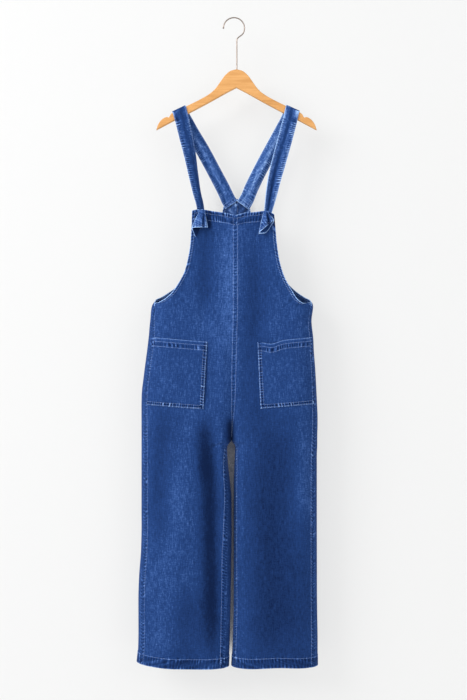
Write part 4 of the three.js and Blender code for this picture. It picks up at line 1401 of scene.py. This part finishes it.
class Strap:
    """The middle surface of one double band, from the slit in the bib over the bar to the nape."""

    def __init__(self, side):
        self.side = side
        rows = STRAPS[side]
        ways = [strap_way(rows["front"]), over_bar(rows["crossing"]), strap_way(rows["back"])]
        stations = np.concatenate(ways)
        points, (tilt, width, self.curl, self.fold) = stations[:, :3], stations[:, 3:].T
        tilt = np.radians(tilt)
        across_way = np.stack([np.cos(tilt), 0 * tilt, np.sin(tilt)], axis=-1)
        out_way = unit(np.cross(across_way, unit(np.gradient(points, axis=0))))
        sections = [band_section(*row) for row in zip(width, self.curl, self.fold)]
        lines, facings = (np.array(part) for part in zip(*sections))
        ways = across_way[:, None], out_way[:, None]
        self.surface = points[:, None] + lines[..., :1] * ways[0] + lines[..., 1:] * ways[1]
        self.normals = facings[..., :1] * ways[0] + facings[..., 1:] * ways[1]
        self.across, self.along = np.meshgrid(STRAP_ACROSS, lengths_along(points))

    def relief(self, sign):
        """The relief of its outer face, with sign 1, or of its inner face, with sign -1."""
        relief = Relief(self.across.shape)
        across, along = self.across, self.along
        seed = 601 + 40 * (self.side == "right") + 20 * (sign < 0)
        edges = [across, STRAP_WIDTH - across]
        roped, smoother = edges if self.side == "left" else edges[::-1]
        for distance, reach, strength, shift in ((roped, 6.5, 1, 0), (smoother, 3.4, 0.55, 7)):
            relief.ropes(distance, along, 0.75 * reach, reach, seed + shift, strength, 0.25, 2.2, STRAP_ROPE)
            relief.wear_and_shade += 1.7 * bump(distance, 1.2)
            relief.stitched(distance - STRAP_STITCH, 0.6)
        behind = smooth((self.surface[..., 1] - 2) / 6)
        mottled = uneven(along + 1.3 * across, 5, seed + 71) * uneven(along - 1.1 * across, 6, seed + 72)
        # Painted highlight along the middle ridge of each strap's back part.
        relief.wear_and_shade += STRAP_TONE[self.side] + 0.35 * behind * bump(roped - 0.5 * STRAP_WIDTH, 6)
        relief.wear_and_shade += 0.45 * mottled
        # Painted shade down the middle of each strap's front part.
        relief.wear_and_shade -= (1 - behind) * 0.9 * bump(roped - 0.56 * STRAP_WIDTH, 5)
        from_nape = along[-1:] - along
        relief.ropes(from_nape, across, 7, 4, seed + 50, 1, 0.3, 1.2)
        relief.wear_and_shade += 1.3 * bump(from_nape, 1.2)
        for place in NAPE_STITCHES:
            relief.stitched(from_nape - place)
        # Painted shade in the valley of each lengthwise fold, and a painted highlight on its ridge.
        curl, fold = self.curl[:, None], self.fold[:, None]
        bent = np.clip(np.abs(curl) / 60, 0, 1) * bump(across / STRAP_WIDTH - fold, FOLD_SOFTNESS)
        relief.wear_and_shade += np.where(sign * curl < 0, -0.75, 0.3) * bent
        return relief

    def cloth(self):
        rings, wear_and_shade, cloth = [], [], []
        edge = np.minimum(self.across, STRAP_WIDTH - self.across)
        for sign, columns in ((1, slice(None)), (-1, slice(-2, 0, -1))):
            relief = self.relief(sign)
            half = STRAP_THICKNESS / 2 * round_over(edge / 1.1) + relief.height * smooth(edge / 2)
            shell = self.surface + sign * self.normals * half[..., None]
            place = np.stack([self.across + 40 * (sign < 0), self.along, 0 * self.along], axis=-1)
            rings.append(shell[:, columns])
            wear_and_shade.append(relief.wear_and_shade[:, columns])
            cloth.append(place[:, columns])
        rings, wear_and_shade, cloth = (np.concatenate(values, axis=1) for values in (rings, wear_and_shade, cloth))
        return tube(f"strap_{self.side}_cloth", rings, DENIM, cloth_values(cloth, wear_and_shade))

    def threads(self):
        """A row of stitches along each edge of both faces, and two across the band at the nape."""
        column = STRAP_EDGE.index(STRAP_STITCH)
        runs = [(slice(6, -2), c, sign) for c in (column, -1 - column) for sign in (1, -1)]
        runs += [(-1 - round(place / STRAP_STEP), slice(column, -column), -1) for place in NAPE_STITCHES]
        lines = []
        for row, c, sign in runs:
            facing = sign * self.normals[row, c]
            lines.append((self.surface[row, c] + facing * (STRAP_THICKNESS / 2 - 0.25), facing))
        stitch_rows(f"strap_{self.side}_stitches", lines)


def strap(side):
    band = Strap(side)
    piece = band.cloth()
    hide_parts(f"strap_{side}")
    band.threads()


# The strap's end hangs in front of the slit as an open tube that spreads out to its mouth; its inside value
# is painted shade on the tube's inner side.
END_COLUMNS = "x drop width depth lean"
STRAP_ENDS = {
    "left": {
        "inside": -2.2,
        "back": 23,
        "back_at": -0.5,
        "back_width": 0.36,
        "pleat_at": 0.5,
        "pleat_depth": 3.5,
        "pleat_width": 0.15,
        "rings": table(END_COLUMNS, [
            (-89, 503, 13, 6, 0),
            (-89.5, 511, 18, 8, 0),
            (-91, 520, 25, 11, 0),
            (-92.5, 530, 31, 14, 0.02),
            (-93.8, 540, 37, 17, 0.04),
            (-94.6, 548.5, 41, 19, 0.04),
        ]),
    },
    "right": {
        "inside": -0.3,
        "back": 14,
        "back_at": 0,
        "back_width": 0.8,
        "pleat_at": 0.36,
        "pleat_depth": 11,
        "pleat_width": 0.2,
        "rings": table(END_COLUMNS, [
            (75, 504, 11, 6, 0),
            (76, 512, 16, 8, 0.05),
            (76.5, 520, 22, 11, 0.25),
            (77, 528, 29, 14, 0.5),
            (77, 537, 35, 17, 0.72),
            (77, 545, 40, 19, 0.85),
        ]),
    },
}
END_SIDES = 96
END_STEPS = 60
END_WALL = 2.2
REAR_FROM = 0.55


def strap_end_surfaces(side):
    """The outer and inner sides of a strap's end, how far its cloth is pressed in, and its distances."""
    end = STRAP_ENDS[side]
    keys = np.arange(len(end["rings"]))
    places = np.linspace(0, keys[-1], END_STEPS)[:, None]
    x, drop, width, depth, lean = (
        smooth_curve(keys, [row[name] for row in end["rings"]])(places) for name in END_COLUMNS.split()
    )
    angle = np.arange(END_SIDES)[None] * 2 * np.pi / END_SIDES
    across, outward = np.cos(angle), np.sin(angle)
    lens = np.sign(outward) * np.abs(outward) ** 1.25
    share = places / keys[-1]
    behind = end["back"] * smooth(-outward * 3) * bump(across - end["back_at"], end["back_width"])
    behind = behind * smooth((share - REAR_FROM) / (1 - REAR_FROM))
    pressed = bump(across - end["pleat_at"], end["pleat_width"]) * (outward > 0) * smooth(share * 2)
    bib_face = -(FACES["front"]["depth"](drop) + CLOTH / 2 + HEM_RAISE + SEAM_GAP)

    def rings(inset):
        right = (width / 2 - inset) * across
        dent = np.minimum(end["pleat_depth"] * pressed, depth * 0.55)
        y = bib_face - depth / 2 - (depth / 2 - inset) * lens + dent
        return np.stack([x + right, y, -(drop + behind) + lean * right], axis=-1)

    facing = unit(np.stack([across + 0 * x, -lens + 0 * x, 0 * across + 0 * x], axis=-1))
    return rings(0), rings(END_WALL), facing, drop - drop[0] + behind, pressed, np.abs(across)


def strap_end(side):
    seed = 801 + 9 * (side == "right")
    end = STRAP_ENDS[side]
    outer, inner, facing, down, pressed, edge = strap_end_surfaces(side)
    around = np.cumsum(np.linalg.norm(np.diff(outer, axis=1, append=outer[:, :1]), axis=2), axis=1)
    from_mouth = down[-1:] - down
    waves = rope(around, from_mouth, seed)
    height = 0.35 * waves * bump(from_mouth - 7, 8) - 0.3 * bump(from_mouth - 5, 1)
    wear_and_shade = 0.45 + 2 * bump(from_mouth, 1.5) + 1.1 * waves * bump(from_mouth - 7, 10)
    # A light line along both folded sides of the tube, rubbed fold and painted highlight together, and
    # painted shade in the pressed pleat.
    wear_and_shade = wear_and_shade + 1.6 * bump(edge - 1, 0.08) - 1.6 * pressed
    wear_and_shade = wear_and_shade + 0.5 * uneven(around + 1.7 * down, 5, seed + 10)
    # Inside the tube: a rubbed rim at the mouth, and the strap end's inside value as painted shade.
    inner_wear_and_shade = 2.4 * bump(from_mouth, 1.6) + end["inside"] + 0.6 * waves * (end["inside"] > -1)
    outer = outer + facing * height[..., None]
    hollow = slice(None, END_STEPS // 4 - 1, -1)
    place = np.stack([around, down + 0 * around, 0 * around], axis=-1)
    sides = ((outer, inner), (place, place), (wear_and_shade, inner_wear_and_shade))
    rings, place, wear_and_shade = (np.concatenate([shown, hidden[hollow]]) for shown, hidden in sides)
    piece = tube(f"strap_end_{side}_cloth", rings, DENIM, cloth_values(place, wear_and_shade))
    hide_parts(f"strap_end_{side}")
    row = int(END_STEPS * 0.86)
    front = slice(4, END_SIDES // 2 - 4)
    stitch_rows(f"strap_end_{side}_stitches", [(outer[row, front], facing[row, front])])


for side in ("left", "right"):
    strap(side)
    strap_end(side)


# Stage, light and camera
PIXEL = 2.6
PHOTO_WIDTH, PHOTO_HEIGHT = 467, 700
HOOK_PIXEL = (234, 18.3)
CAMERA_DISTANCE = 2600


def wall_material():
    """A plain white backdrop, lit from within as well, with painted shade where the garment closes it in, and
    seen from the front only.
    """
    n = Nodes("wall_glow_with_painted_shade")
    # Ambient occlusion dims the glow: painted shade on the wall between the legs and close behind the
    # garment.
    open_share = n.add("ShaderNodeAmbientOcclusion", {"samples": 8}, Distance=0.16).outputs["AO"]
    painted_shade_factor = n.add(
        "ShaderNodeMapRange",
        {"interpolation_type": "SMOOTHSTEP"},
        Value=open_share,
        From_Min=0.16,
        From_Max=0.44,
    )
    n.finish(
        Base_Color=(0.17, 0.17, 0.17, 1),
        Roughness=0.9,
        Emission_Color=(1, 1, 0.99, 1),
        Emission_Strength=n.math("MULTIPLY", painted_shade_factor.outputs[0], 0.64),
    )
    both = n.add("ShaderNodeMixShader", Fac=n.add("ShaderNodeNewGeometry").outputs["Backfacing"])
    n.set(both.inputs[1], n.shader.outputs[0])
    n.set(both.inputs[2], n.add("ShaderNodeBsdfTransparent").outputs[0])
    n.set(n.tree.nodes["Material Output"].inputs[0], both.outputs[0])
    return n.material


def flat_square(name, corners, material):
    mesh = bpy.data.meshes.new(name)
    mesh.from_pydata(corners, [], [(0, 1, 2, 3)])
    mesh.materials.append(material)
    square = new_object(name, mesh)
    return square


def stage():
    back, floor, reach = 0.075, -1.95, 6
    wall = flat_square(
        "wall",
        [(-reach, back, floor), (reach, back, floor), (reach, back, 3), (-reach, back, 3)],
        wall_material(),
    )
    wall.visible_diffuse = False
    wall.visible_glossy = False
    wall.visible_shadow = False
    flat_square(
        "floor",
        [(-reach, -reach, floor), (reach, -reach, floor), (reach, reach, floor), (-reach, reach, floor)],
        plain("floor_paint", (0.82, 0.82, 0.82)),
    )


def area_light(name, place, aim, size, power):
    light = bpy.data.lights.new(name, "AREA")
    light.shape = "DISK"
    light.size = size
    light.energy = power
    lamp = new_object(name, light)
    lamp.location = place
    lamp.rotation_euler = (Vector(aim) - Vector(place)).to_track_quat("-Z", "Y").to_euler()


def lights():
    middle = (0, 0, -0.85)
    area_light("key", (-3.4, -2.6, 1.4), middle, 3, 250)
    area_light("fill", (2.6, -3.0, 0.2), middle, 2.4, 30)
    area_light("behind", (1.2, 2.6, 0.4), middle, 2.0, 40)
    world = bpy.data.worlds.new("studio")
    bpy.context.scene.world = world
    world.use_nodes = True
    background = world.node_tree.nodes["Background"]
    background.inputs[0].default_value = (0.95, 0.97, 1, 1)
    background.inputs[1].default_value = 0.86


def camera():
    data = bpy.data.cameras.new("camera")
    half_height = PHOTO_HEIGHT * PIXEL / 2
    data.sensor_width = 36
    data.lens = data.sensor_width / 2 * CAMERA_DISTANCE / half_height
    eye = new_object("camera", data)
    x = (PHOTO_WIDTH / 2 - HOOK_PIXEL[0]) * PIXEL
    z = (HOOK_PIXEL[1] - PHOTO_HEIGHT / 2) * PIXEL
    eye.location = Vector((x, -CAMERA_DISTANCE, z)) * MM
    eye.rotation_euler = (np.pi / 2, 0, 0)
    bpy.context.scene.camera = eye


stage()
lights()
camera()
bpy.context.scene.view_settings.view_transform = "Standard"
